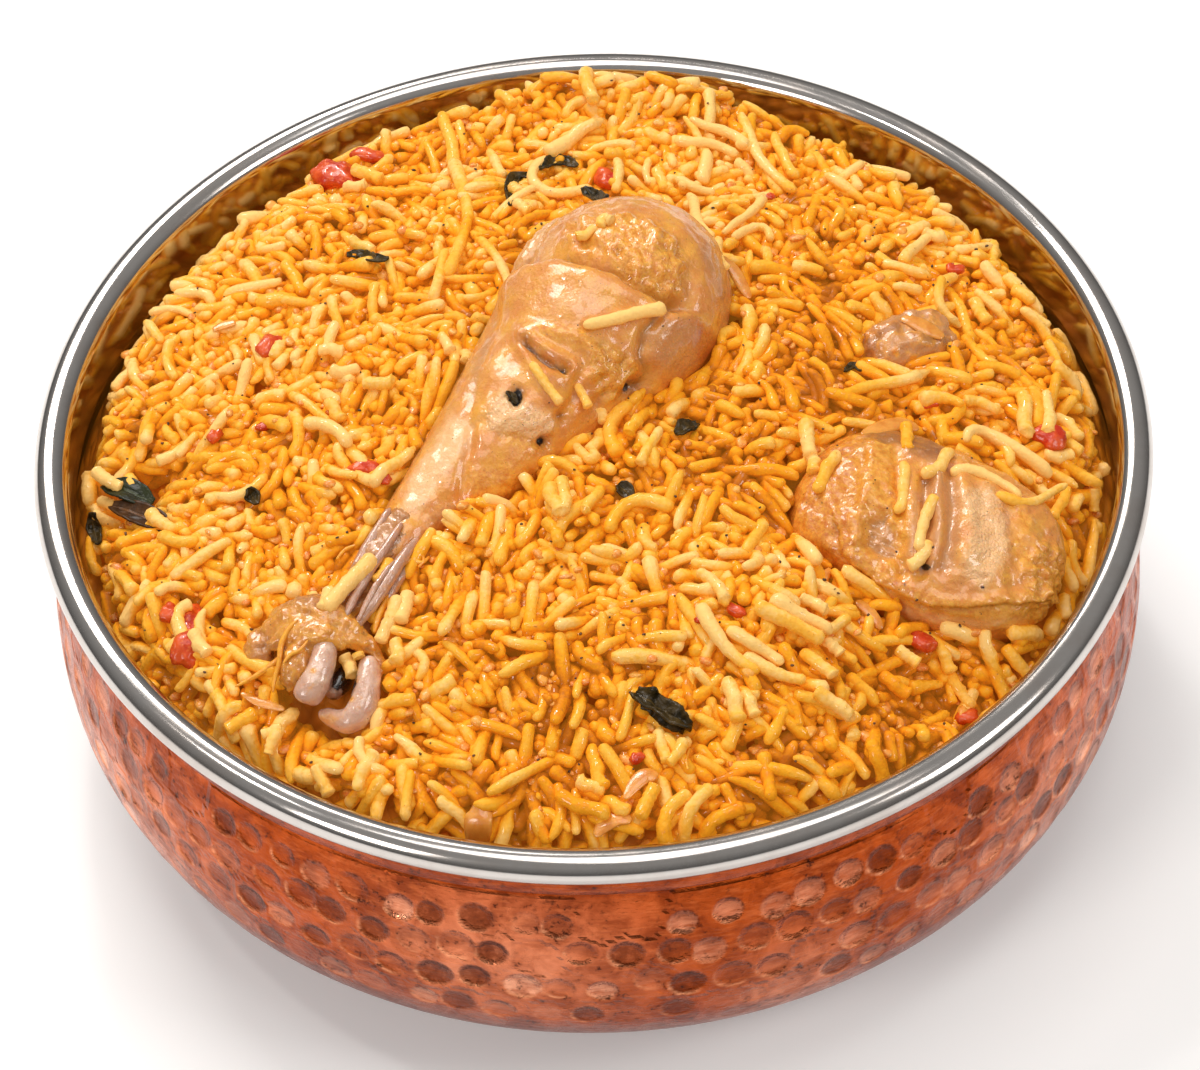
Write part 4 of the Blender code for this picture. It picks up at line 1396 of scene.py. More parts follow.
def make_bone():
    """The shank's torn end: two glossy condyles in a ring, with a third between them that is painted dark as the shade
    in their groove.
    """
    piece = joined("condyles", [
        chain("condyle_left", -441, -169, 636, 16, -2, -19, 1, 4, -6, -26, -4, 3, -12, -26, -8, 2, -13, -21, -10, -1,
              -6, -11, -6, -9),
        chain("condyle_right", -374, -192, 622, 12, 2, -22, -2, 7, -2, -28, -6, 3, -6, -29, -8, 2, -15, -24, -8, 0,
              -19, -5, -6, -4, -21, 7, -4, -5, -23, 9, -4, -7),
        chain("inner", -437, -263, 584, 12, 13, 20, 2, 8, 15, 22, 2, -2, 6, 20, 2, -8)])
    blend(piece, 0.42, 6)
    points = places(piece)
    points = swell(piece, points, normals_of(piece), 0.14 * crinkle(points, 1.8, 41.0))
    spots = chart(points)
    ripple = crinkle(points, 2.2, 42.0)
    # Painted shade: the groove between the condyles is painted brown and near black
    groove = patch(spots, 0.5, -438, -271, 6, 37, 10, 33, 32, 0, -1, -39, -15, -26, -16, -9)
    paint(piece, grey=0.55 + 0.3 * fade(ripple, -0.5, 0.5), pale=0.35 + 0.4 * fade(ripple, 0.0, -0.6),
          brown=0.9 * groove + 0.25 * fade(ripple, 0.45, 0.8), dark=0.85 * groove * fade(ripple, -0.6, 0.1),
          gold=0.9 * blob(spots, (-46.2, -21.9), (0.7, 0.6), 0, 3) + 0.8 * blob(spots, (-40.1, -26.4), (0.7, 0.6), 0, 3)
          + 0.6 * patch(spots, 0.6, -464, -292, 29, 7, 19, -10, -13, -13, -25, 7),
          wet=np.ones(len(points)), red=0.3 * blob(spots, (-48.8, -25.0), (1.2, 3.0), -30))
    return piece


def blend(piece, voxel, smoothing):
    """Melts a piece's overlapping parts into one skin."""
    deselect()
    piece.select_set(True)
    bpy.context.view_layer.objects.active = piece
    modified(piece, "Melting", "REMESH", mode="VOXEL", voxel_size=voxel * MM)
    modified(piece, "Softening", "SMOOTH", factor=0.5, iterations=smoothing)
    piece.data.shade_smooth()


def make_shank_skin():
    """The ragged golden skin above the condyles, the nub beside them and the flesh low on the shank."""
    piece = joined("shank_skin", [
        chain("skin_over", -541, -177, 614, 20, 22, 24, 14, 9, 32, 19, 12, 6, 33, 7, 6, 0, 30, -15, -2, -4, 29, -21,
              -8, -8, 26, -19, -10, -8, 10, -15, -6, -7, flatness=0.85),
        chain("skin_middle", -516, -179, 626, 22, 28, 16, 12, 8, 34, 4, 7, 0, 32, -7, -5, -8, 22, -13, -8, -10,
              flatness=0.85),
        chain("nub", -528, -214, 600, 12, -17, 14, 6, 9, -3, 21, 8, 2, 16, 23, 8, -1),
        chain("flesh_left", -480, -176, 634, 19, -7, -25, -5, 5, -9, -26, -10, -1, -15, -21, -13, -10),
        chain("skin_right", -364, -182, 620, 10, 8, -23, -8, 2, -2, -25, -8, -4, -6, -20, -4, -4),
        chain("fold_top", -499, -121, 642, 8, 21, 10, 8, 8, 22, -3, 2, -1, 15, -20, 2, -2, 6, -25, -2, -5),
        chain("fold_left", -475, -124, 654, 6, -18, -19, 0, 5, -21, -23, -12, 1, -18, -22, -16, -4),
        chain("shank_low", -422, -153, 626, 24, 16, 32, 4, 2, 23, 40, 6, 2, 25, 41, 6, 2, 28, 40, 4, 2, 27, 37, 4, -2)])
    blend(piece, 0.45, 4)
    points = places(piece)
    lumps = crinkle(points, 2.1, 51.0)
    fine = crinkle(points, 0.9, 52.0)
    spots = chart(swell(piece, points, normals_of(piece), 0.55 * lumps + 0.25 * fine))
    shank = fade(spots[:, 1], -13.0, -10.0)
    # Painted shade: near-black in two holes that aren't modelled
    holes = np.maximum(blob(spots, (-51.4, -24.8), (1.0, 0.7), 0, 3), blob(spots, (-36.7, -21.9), (0.7, 0.9), 0, 3))
    nub = blob(spots, (-54.5, -18.8), (2.4, 2.6))
    low = blob(spots, (-49.5, -22.6), (3.0, 3.4), -20)
    paint(piece, gold=(1 - shank) * (0.45 + 0.35 * fade(fine, -0.2, 0.6)) * (1 - 0.7 * nub),
          brown=(1 - shank) * (0.35 + 0.3 * fade(lumps, 0.2, -0.6)) + 0.4 * shank + 0.25 * low,
          grey=0.85 * shank + 0.8 * nub + 0.45 * low,
          pale=0.25 * shank * fade(fine, 0.2, 0.7) + 0.5 * (1 - shank) * fade(fine, 0.55, 0.9),
          wet=1.0 - 0.4 * shank, dark=holes)
    return piece


def make_sinews():
    """Thin strands that run from the shank's skin down to the torn end."""
    piece = joined("shank_sinews", [chain(f"sinew_{index}", *strand, sides=10) for index, strand in enumerate((
        (-316, 24, 676, 5, -30, -45, -4, 3, -28, -43, -6, 0, -26, -46, -6, -1, -19, -37, -6, -3),
        (-290, 0, 664, 5, -32, -43, 2, 5, -29, -46, -4, 1, -29, -40, -8, -2, -20, -30, -10, -4),
        (-330, -40, 674, 3, -28, -37, -2, 2.5, -19, -34, -6, -0.5, -13, -29, -8, -2),
        (-303, -40, 654, 4, -22, -32, -4, 5, -17, -33, -6, -1, -12, -35, -10, -3),
        (-335, 48, 674, 5, -29, -48, -10, 4, -29, -53, -10, 0, -26, -52, -8, -1, -16, -35, -4, -4),
        (-274, 16, 660, 4, -13, -37, -14, 8, -22, -43, -14, -1, -20, -34, -6, -6),
    ))])
    points = places(piece)
    ripple = crinkle(points, 1.5, 61.0)
    swell(piece, points, normals_of(piece), 0.14 * ripple)
    paint(piece, grey=0.8 + 0.2 * fade(ripple, -0.3, 0.4), pale=0.3 * fade(ripple, 0.3, 0.7),
          gold=0.45 * fade(ripple, -0.2, -0.7), wet=1.0 + 0 * ripple, brown=0.42 + 0 * ripple)
    return piece


def meat_skin():
    """The shared look of cooked meat: its flesh, and over it the marks painted on each piece."""
    skin = Group("meat skin", "Gloss", "Flesh", "Deep Flesh", "Grey", "Pale")
    fine = skin.noise(0.9, detail=3.0, roughness=0.65)
    blotch = skin.remap(skin.noise(4.0, roughness=0.6), 0.36, 0.60)
    base = skin.mix(blotch, skin.input("Flesh"), skin.input("Deep Flesh"))
    gold = skin.mix(skin.remap(fine, 0.35, 0.65), (0.87, 0.42, 0.055), (0.68, 0.22, 0.012))
    for name, colour, strength, edge in (
            ("grey", skin.input("Grey"), 0.9, 0.25), ("brown", (0.30, 0.105, 0.028), 0.85, 0.25),
            ("pale", skin.input("Pale"), 0.85, 0.25), ("gold", gold, 0.9, 0.25),
            ("red", (0.42, 0.065, 0.012), 0.7, 0.25), ("dark", (0.022, 0.012, 0.008), 1.0, 0.12)):
        amount = skin.attribute(name)
        ragged = skin.plus(amount, skin.times(skin.remap(fine, 0.25, 0.75, -0.5, 0.5), skin.less(1.0, amount), amount))
        ragged = skin.times(skin.remap(ragged, 0.5 - edge, 0.5 + edge), strength)
        base = skin.mix(skin.math("MAXIMUM", ragged, skin.times(amount, 0.5 * strength)), base, colour)
    oil = skin.noise(1.6, detail=2.0, roughness=0.6)
    base = skin.mix(skin.remap(oil, 0.60, 0.78, 0.0, 0.6), base, (0.76, 0.30, 0.04))
    pores = skin.cells(0.75)
    base = skin.mix(skin.remap(pores, 0.0, 0.16, 0.22, 0.0), base, (0.55, 0.22, 0.06))
    base = skin.mix(skin.remap(skin.noise(0.42, detail=1.0), 0.745, 0.78, 0.0, 0.85), base, (0.10, 0.035, 0.012))
    wet = skin.attribute("wet")
    skin.output("Colour", base, "NodeSocketColor")
    dry = skin.plus(skin.remap(fine, 0.3, 0.7, 0.0, 0.16), skin.input("Gloss"))
    skin.output("Roughness", skin.less(dry, skin.times(wet, 0.16)))
    skin.output("Coat", skin.plus(0.4, skin.times(wet, 0.6), clamp=True))
    relief = skin.bump(skin.noise(0.7, detail=2.0, roughness=0.6), 0.22, 0.8)
    relief = skin.bump(skin.times(skin.attribute("rough"), skin.noise(0.55, detail=1.0)), 0.40, 0.9, after=relief)
    skin.output("Normal", skin.bump(skin.remap(pores, 0.0, 0.2), 0.05, 0.5, after=relief), "NodeSocketVector")
    return skin.tree


def meat_finish(name, skin, **tones):
    finish = Finish(name)
    look = finish.call(skin, **tones)
    finish.set(Base_Color=look["Colour"], Roughness=look["Roughness"], Normal=look["Normal"], Coat_Weight=look["Coat"],
               Coat_Roughness=0.10, Subsurface_Weight=0.22, Subsurface_Scale=0.0016, Subsurface_Radius=(1.0, 0.5, 0.25),
               Specular_IOR_Level=0.5)
    return finish.material


# --- what lies on top

WALL_REACH = 83.0    # where the line of sight meets the far wall
LAID_REACH = 81.5    # how far out a long grain or a shred is laid


def lies_at(place, surface):
    """Where the line of sight through a chart place first meets the food."""
    line = sight(place)
    heights = np.linspace(94.0, 44.0, 400)
    x, y = (EYE + line * ((heights - EYE[2]) / line[2])[:, None])[:, :2].T
    food = look_up(surface, x, y)
    under = np.nonzero((heights <= food) | (np.hypot(x, y) > WALL_REACH) & (y > 0))[0]
    first = under[0] if len(under) else -1
    return np.array([x[first], y[first], min(heights[first], food[first] + 1.5)])


def resting_heights(marks, surface):
    """How high the food is under each place of a line, with no drop over an edge of the meat."""
    heights = np.array([lies_at(place, surface)[2] for place in marks])
    reach = 0.6 + 0.2 * np.linalg.norm(np.subtract(marks[-1], marks[0]))
    return np.clip(heights, np.median(heights) - reach, np.median(heights) + reach)


def laid_line(marks, lift, surface):
    """A smooth line through chart places, lying lift millimetres above the food."""
    heights = resting_heights(marks, surface)
    for smoothing in range(2):
        padded = np.concatenate([heights[:1], heights, heights[-1:]])
        heights = np.maximum(heights * 0.5 + (padded[:-2] + padded[2:]) * 0.25, heights - 1.2)
    line = np.array([at_height(place, height + lift) for place, height in zip(marks, heights)])
    for point in line:
        away = np.hypot(*point[:2])
        if away > LAID_REACH:
            point[:2] *= LAID_REACH / away
            point[2] = look_up(surface, *point[:2]) + lift
    return line


# Grains that stand out: radius, lift and the beads that they pass through
PALE_GRAINS = (
    (0.85, 0.5, 143, 549, 8, -17, 7, -25, 11, -19, 13, -11), (0.80, 0.5, 192, 478, -4, -19, 7, -18, 11, -14),
    (0.80, 0.7, 197, 485, 20, 18, 23, 13, 15, 16, 9, 19), (0.75, 0.5, 214, 478, 20, 13, 21, 5, 16, -6, 4, -15),
    (0.80, 0.6, 264, 462, 7, -16, -2, -21), (0.85, 0.8, -16, 562, -21, -9, -34, -2, -26, 10, -14, 16, 6, 17, 21, 15),
    (1.15, 0.9, -84, 611, 20, 16, 24, 17, 21, 13, 24, 15),
    (0.80, 0.7, -209, 488, 19, -16, 21, -19, 14, -24, 7, -26, -3, -24), (1.00, 0.5, -139, 561, 9, -13),
    (0.90, 0.5, -135, 540, 11, -13, 11, -5), (1.10, 0.6, -209, 707, 8, -16, 11, -19),
    (0.90, 0.8, 226, 680, 12, -28, 12, -32, 17, -24, 23, -24, 24, -19),
    (0.85, 0.6, 282, 648, 6, -25, 12, -22, 16, -26), (0.95, 0.7, 122, 638, 23, -6, 26, 0, 26, -7, 24, -13),
    (0.90, 0.7, 145, 672, 24, -13, 28, -7, 25, -11, 13, -16), (0.80, 0.6, 122, 575, 20, -10, 21, -9, 22, -5),
    (0.90, 0.6, 90, 590, 7, -16, 8, -18), (0.65, 0.6, 79, 607, -5, -21, 5, -21), (0.90, 0.5, -3, 498, 11, 11, 13, -3),
    (0.80, 0.5, -37, 478, 18, 9, 14, 9), (1.00, 0.6, -27, 337, 35, 8, 37, 8, 32, 8, 28, 5),
    (0.80, 0.4, -111, 277, 16, -22, 16, -23, 16, -21), (0.75, 0.4, -37, 243, 10, -19, 9, -19),
    (0.85, 0.5, 98, 172, -14, -22, -12, -20, -8, -16), (0.85, 0.5, -40, 147, 11, -17, 16, -6, 8, 13),
    (0.90, 0.5, 5, 169, -10, -19, -11, -16), (1.15, 0.9, 116, 43, -23, 10, -29, 3, -25, -9, -18, -20, -7, -22),
    (1.00, 0.8, 163, -111, 9, -26, 18, -26, 18, -22, 22, -21, 26, -16),
    (0.95, 0.7, 161, -58, 18, -14, 16, -20, 11, -19), (0.95, 0.7, 205, -151, 29, -17, 30, -17, 31, -23),
    (1.00, 0.9, 232, -193, 32, -20, 34, -14, 34, -7), (1.15, 0.7, 205, -230, 8, -26, 6, -23, 7, -21),
    (0.95, 0.6, 232, -250, 10, -21, 9, -21), (0.95, 0.7, 324, -98, 21, -13, 24, -11),
    (0.90, 0.9, 332, -169, 22, 11, 26, 11, 20, 15), (0.90, 0.6, 361, -169, 16, -11, 11, -13),
    (0.95, 0.7, 324, -187, 22, -16, 21, -14, 10, -10), (1.15, 0.8, 250, -113, 34, -17, 38, -20, 39, -19),
    (1.10, 1.0, 274, -103, 32, -16, 36, -20, 33, -17), (0.90, 0.7, 541, -164, 8, -21, 10, -20, 10, -17),
    (0.90, 0.6, 565, -221, 9, -22, 11, -16, 18, -18), (0.65, 0.4, 559, -221, 5, -29, 5, -22),
    (1.00, 0.6, 478, -182, 17, -13, 19, -13),
    (1.00, 0.6, 590, 151, 4, 13, 17, 5, 22, -8, 26, -14, 24, -18, 26, -19, 19, -15),
    (0.90, 0.5, 565, 100, 23, 5, 24, -5, 24, -11, 25, -13, 16, -15),
    (0.72, 0.7, 638, 66, 23, -10, 24, -3, 24, 5, 24, 13, 19, 11),
    (0.95, 0.4, 541, 63, -9, -16, -10, -23, -6, -27, -2, -21), (1.05, 0.4, 524, -10, 0, -16, -12, -16, -16, -8),
    (0.80, 0.4, 488, 118, 3, -28, -3, -29, -10, -26), (1.20, 0.6, 332, 184, 1, -28, 7, -29),
    (1.00, 0.5, 342, 129, 4, -28), (0.90, 0.7, 387, 227, 35, 10, 37, 6, 37, 10, 36, 10),
    (1.00, 0.8, 516, 217, 24, 5, 24, -3, 21, -10), (0.90, 0.7, 585, 219, 27, -6, 39, -15),
    (0.95, 0.7, 733, 193, 21, -16, 21, -22), (1.00, 0.6, 715, 129, 24, -2, 25, 3),
    (0.85, 0.6, 754, 76, -11, -24, -13, -25), (0.85, 0.6, 796, 76, 6, -23),
    (1.15, 0.8, -441, 627, 22, -12, 24, -11, 21, -11), (1.10, 0.8, -400, 591, 23, -9, 26, -10),
    (0.95, 0.7, -404, 475, 21, -9, 21, -12), (0.95, 0.7, -414, 561, 21, 1, 19, 3),
    (1.05, 0.8, -815, 105, 22, -18, 23, -11), (1.05, 0.8, -764, 95, 20, -23, 13, -25),
    (1.00, 0.7, -806, 56, 26, -9, 29, 3), (1.00, 0.7, -725, 37, 16, -16, 26, -13), (1.10, 0.6, -435, 536, 18, 5),
    (0.85, 0.7, 551, 417, -6, -22, 4, -24, 13, -20, 18, -18), (0.80, 0.6, 588, 322, 11, -21, 20, -16, 25, -16),
    (1.00, 0.7, 524, 488, 16, -8, 16, 5), (0.95, 0.7, 487, 440, 12, 16, 17, 14, 19, 15),
    (0.85, 0.5, -256, 324, 8, -15, 8, -13), (0.85, 0.4, -217, 296, 3, -16),
    (1.05, 0.7, -478, 179, 27, 1, 27, -12, 21, -23), (1.00, 0.7, -438, 219, 11, -18, 13, -17),
    (0.95, 0.8, -367, 84, 22, 21, 23, 17, 26, 17), (1.05, 0.7, -454, 300, 22, -2, 21, -3),
    (1.10, 0.7, -383, 242, 25, 3, 29, 1), (1.00, 0.6, -435, 263, 24, 0, 24, 6),
    (1.05, 0.6, -669, -169, -11, 24, 3, 24, 20, 10), (1.05, 0.7, -657, -156, 13, -21, 11, -16),
    (0.90, 0.7, -519, -314, -11, -24, -5, -16), (0.85, 0.6, -545, -322, 18, 6, 18, 5),
    (1.00, 0.7, -13, -338, 5, -28, 5, -25, 13, -17), (0.95, 0.6, 8, -411, -24, 7, -21, 11),
    (0.95, 0.6, 93, -314, 7, -28, 10, -24), (0.90, 0.6, 135, -330, -9, -21, -16, -18),
    (1.10, 0.8, 110, -499, -7, 24, 10, 35, 32, 26), (1.00, 0.7, 129, -488, 13, 37, 38, 48),
    (1.05, 1.6, -412, -192, 6, -16, 11, -21), (0.95, 2.0, -391, -190, 3, -8),
    (1.25, 0.9, -364, -35, -23, -25, -24, -25, -32, -34), (1.10, 0.8, -325, -100, -8, -24, -12, -26, -9, -24),
    (1.05, 0.7, -309, -92, -5, -22, -8, -26), (1.00, 0.7, -435, -89, -6, -16, -7, -13),
    (1.05, 0.7, -333, -169, 8, -19, -4, -20), (1.00, 0.6, -338, -40, -10, -20, -13, -16),
)
GOLDEN_GRAINS = (
    (1.20, 1.6, -27, 748, 6, -18, 7, -18, 4, -18), (1.05, 0.9, -256, 680, 10, -28, 8, -29, 3, -27),
    (1.10, 0.9, -237, 604, 11, -32, 10, -32, 3, -36), (0.95, 0.9, -214, 514, -5, -31, -13, -27, -13, -37),
    (0.90, 0.7, -248, 459, -11, -40, -10, -40), (0.85, 0.7, -179, 620, 10, -19, 13, -23),
    (0.90, 0.7, -166, 714, 15, -10, 14, -10), (1.15, 0.6, 52, 211, -23, -13, -11, -22, 1, -25, 12, -22),
    (0.95, 0.5, 64, 192, -11, -16, -8, -15), (0.85, 0.5, 2, 201, 3, -21), (0.85, 0.5, 81, 177, -13, -24, -12, -19),
    (1.10, 0.6, -85, 81, 11, -25, 11, -24), (1.10, 0.7, -63, 87, 5, -26, -2, -29),
    (1.00, 0.6, -84, 24, 13, -21, 8, -21), (0.90, 0.5, 3, 77, -16, -21, -16, -19),
    (1.10, 0.7, 348, -250, 21, -16, 22, -16, 21, -14), (1.05, 0.7, 453, -222, 21, -20, 25, -16),
    (1.00, 0.6, 383, 134, -11, -18, -10, -18, -14, -29), (0.95, 0.5, 519, 95, 19, 10, 15, 14, 11, 18),
    (1.15, 0.8, 681, 232, 4, -34, 3, -40), (1.15, 0.8, 702, 234, 2, -36, 2, -29),
    (1.10, 0.8, 719, 229, 3, -36, 0, -38), (0.90, 0.5, 496, 179, -3, -21, 5, -21),
    (0.90, 0.6, 567, 390, 13, -28, 13, -29, 5, -27), (1.05, 0.7, 603, 379, 8, -17, 14, -19),
    (1.10, 0.7, -577, 440, 20, -21, 14, -28), (1.00, 0.7, -506, 440, 13, -26, 18, -27),
    (1.10, 0.8, 64, -456, 13, 29, 12, 24), (1.00, 0.7, 263, -351, 6, -36, 8, -40),
    (1.05, 0.7, 342, -387, 32, -24, 26, -16), (1.00, 0.7, 432, -333, 16, -25, 13, -24),
    (1.10, 0.8, 166, -499, 14, 37, 54, 25), (1.05, 0.7, -72, -419, 40, -16, 48, -16),
    (1.05, 0.7, -459, -371, 11, -24, 13, -24), (1.10, 0.7, -395, -411, 16, 32, 17, 29),
    (1.00, 0.7, -577, -279, -27, -6, -24, -16), (1.05, 0.7, -554, -285, -26, -16, -23, -13),
)


def stand_outs(rows, surface):
    return [dict(line=spline(laid_line(trace(*tenths), radius * lift, surface), ALONG), radius=radius * 1.14)
            for radius, lift, *tenths in rows]


def long_patterns():
    middle = tuple(np.linspace(-0.72, 0.72, 9))
    plans = ((ROUND_END, BLUNT_END), (ROUND_END, ROUND_END), (BLUNT_END, POINTED_END))
    waists = [(0.4, 0.10), (-0.3, 0.08)]
    return [grain_pattern(f"long pattern {index}", 70 + index, rings_between(*ends, middle), 9, waists)
            for index, ends in enumerate(plans)]


def lump(name, centre, radii, turn, seed, cuts, rough):
    """An uneven lump of food."""
    piece = block(name, (0, 0, 0), radii, turn, 0.0, 2.4, cuts)
    points = places(piece)
    size = max(radii)
    bulge = crinkle(points / size, 0.9, seed) * rough * 2.2 + crinkle(points / size, 0.35, seed + 3) * rough * 0.5
    points = points * (1 + bulge)[:, None] + np.array(centre)
    put_places(piece, points)
    return piece


def tomato_finish():
    finish = Finish("cooked tomato")
    flesh = finish.noise(3.0, detail=3.0, distortion=0.4)
    fine = finish.noise(0.8, detail=2.0)
    base = finish.mix(finish.remap(flesh, 0.35, 0.62), (0.50, 0.026, 0.004), (0.72, 0.095, 0.012))
    base = finish.mix(finish.remap(fine, 0.58, 0.74, 0.0, 0.6), base, (0.85, 0.22, 0.04))
    finish.set(Base_Color=base, Roughness=finish.remap(fine, 0.3, 0.7, 0.25, 0.40), Normal=finish.bump(flesh, 0.8, 0.6),
               Specular_IOR_Level=0.25, Coat_Weight=0.45, Coat_Roughness=0.05)
    return finish.material


TOMATO_BITS = (
    ((-53.2, 30.6), (2.6, 1.7, 1.1), 65), ((-62.0, 16.1), (1.5, 1.0, 0.8), 60), ((-54.0, 17.7), (1.6, 0.9, 0.7), 30),
    ((-38.3, 10.8), (2.6, 1.4, 1.0), 5), ((-34.5, 9.0), (1.0, 0.8, 0.6), 40), ((72.8, 15.9), (2.9, 2.3, 1.2), -40),
    ((51.9, -16.9), (2.6, 1.6, 1.1), -30), ((59.1, -29.2), (1.8, 1.4, 1.0), 10), ((57.2, 42.9), (1.6, 1.0, 0.8), -20),
    ((1.1, 57.4), (2.8, 2.0, 1.3), -50), ((22.1, -12.2), (1.6, 1.0, 0.8), -45), ((-37.4, 61.2), (3.0, 1.4, 1.0), -10),
    ((53.2, 21.3), (1.7, 1.0, 0.6), 5), ((5.8, -35.8), (1.1, 0.8, 0.6), 20), ((-69.6, -12.4), (1.8, 1.4, 1.0), 70),
    ((-66.7, -18.5), (2.7, 2.3, 1.6), 70), ((27.4, 54.6), (0.9, 0.7, 0.5), 30), ((16.1, -13.7), (0.9, 0.6, 0.5), 0),
)


def make_tomatoes(surface):
    finish = tomato_finish()
    for node, shift, radii, turn, seed, rough in (("tomato_back", (0.4, 0.0, 0.2), (4.3, 3.0, 2.6), -25, 3.0, 0.13),
                                                  ("tomato_left", (0.3, -1.7, 1.6), (3.7, 2.5, 2.1), 60, 5.0, 0.14)):
        centre = np.mean(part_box(node), 0) / MM + shift
        settle(lump(f"{node}_piece", centre, radii, math.radians(turn), seed, 16, rough), finish, "tomato", node)
    parts = []
    for index, (place, radii, turn) in enumerate(TOMATO_BITS):
        centre = lies_at(place, surface) - [0, 0, radii[2] * 0.15]
        parts.append(lump(f"tomato_bit_{index}", centre, radii, math.radians(turn), index + 11.0, 6, 0.17))
    settle(joined("tomato_bits", parts), finish, "tomato")


def leaf(name, marks, heights, widths, cup, thickness, crumple, seed):
    """A leaf along chart places: its half widths, how deep it cups, and how far it's crumpled."""
    deselect()
    bpy.ops.mesh.primitive_grid_add(x_subdivisions=36, y_subdivisions=12, size=2.0)
    piece = bpy.context.object
    piece.name = name
    flat = np.array([vert.co[:] for vert in piece.data.vertices])
    stations = np.array([(*at_height(place, height), width) for place, height, width in zip(marks, heights, widths)])
    line = spline(stations, 73)
    index = np.clip(np.rint((flat[:, 0] + 1) * 36).astype(int), 0, 72)
    along = np.gradient(line[:, :3], axis=0)[index]
    along /= np.linalg.norm(along, axis=1)[:, None]
    across = np.cross([0, 0, 1.0], along)
    across /= np.linalg.norm(across, axis=1)[:, None]
    above = np.cross(along, across)
    width = np.maximum(line[index, 3], 0.05)
    side = flat[:, 1]
    rise = cup * width * side ** 2 - 0.12 * width * ridge(side, 0.12)
    points = line[index, :3] + across * (side * width)[:, None] + above * rise[:, None]
    swell(piece, points, above, crumple * crinkle(points, 1.6, seed + 70.0))
    modified(piece, "Body", "SOLIDIFY", thickness=thickness * MM, offset=0.0)
    right_way_out(piece)
    piece.data.shade_smooth()
    rib = np.ones(len(piece.data.vertices))
    rib[:2 * len(side)] = np.abs(np.tile(side, 2))
    mark(piece, "rib", rib)
    return piece


def leaf_skin():
    """The shared look of cooked leaves: blotched, with a paler rib and dark specks."""
    skin = Group("leaf skin", "Gloss", "Dark", "Light", "Rib", "Speck")
    blotch = skin.noise(2.2, detail=4.0, roughness=0.6)
    fine = skin.noise(0.5, detail=2.0)
    rib = skin.remap(skin.attribute("rib"), 0.03, 0.16, 1.0, 0.0)
    base = skin.mix(skin.remap(blotch, 0.35, 0.7), skin.input("Dark"), skin.input("Light"))
    base = skin.mix(skin.times(rib, 0.5), base, skin.input("Rib"))
    skin.output("Colour", skin.mix(skin.remap(fine, 0.62, 0.74, 0.0, 0.6), base, skin.input("Speck")),
                "NodeSocketColor")
    skin.output("Roughness", skin.plus(skin.remap(blotch, 0.3, 0.7, -0.1, 0.12), skin.input("Gloss")))
    skin.output("Normal", skin.bump(skin.plus(fine, rib), 0.16, 0.8), "NodeSocketVector")
    return skin.tree


def leaf_finish(name, skin, dark, light, gloss=0.42):
    finish = Finish(name)
    look = finish.call(skin, Dark=dark, Light=light, Rib=tuple(min(1.0, tone * 2.2) for tone in light),
                       Speck=tuple(tone * 0.35 for tone in dark), Gloss=gloss)
    finish.set(Base_Color=look["Colour"], Roughness=look["Roughness"], Normal=look["Normal"], Coat_Weight=0.10,
               Coat_Roughness=0.10, Specular_IOR_Level=0.2)
    return finish.material


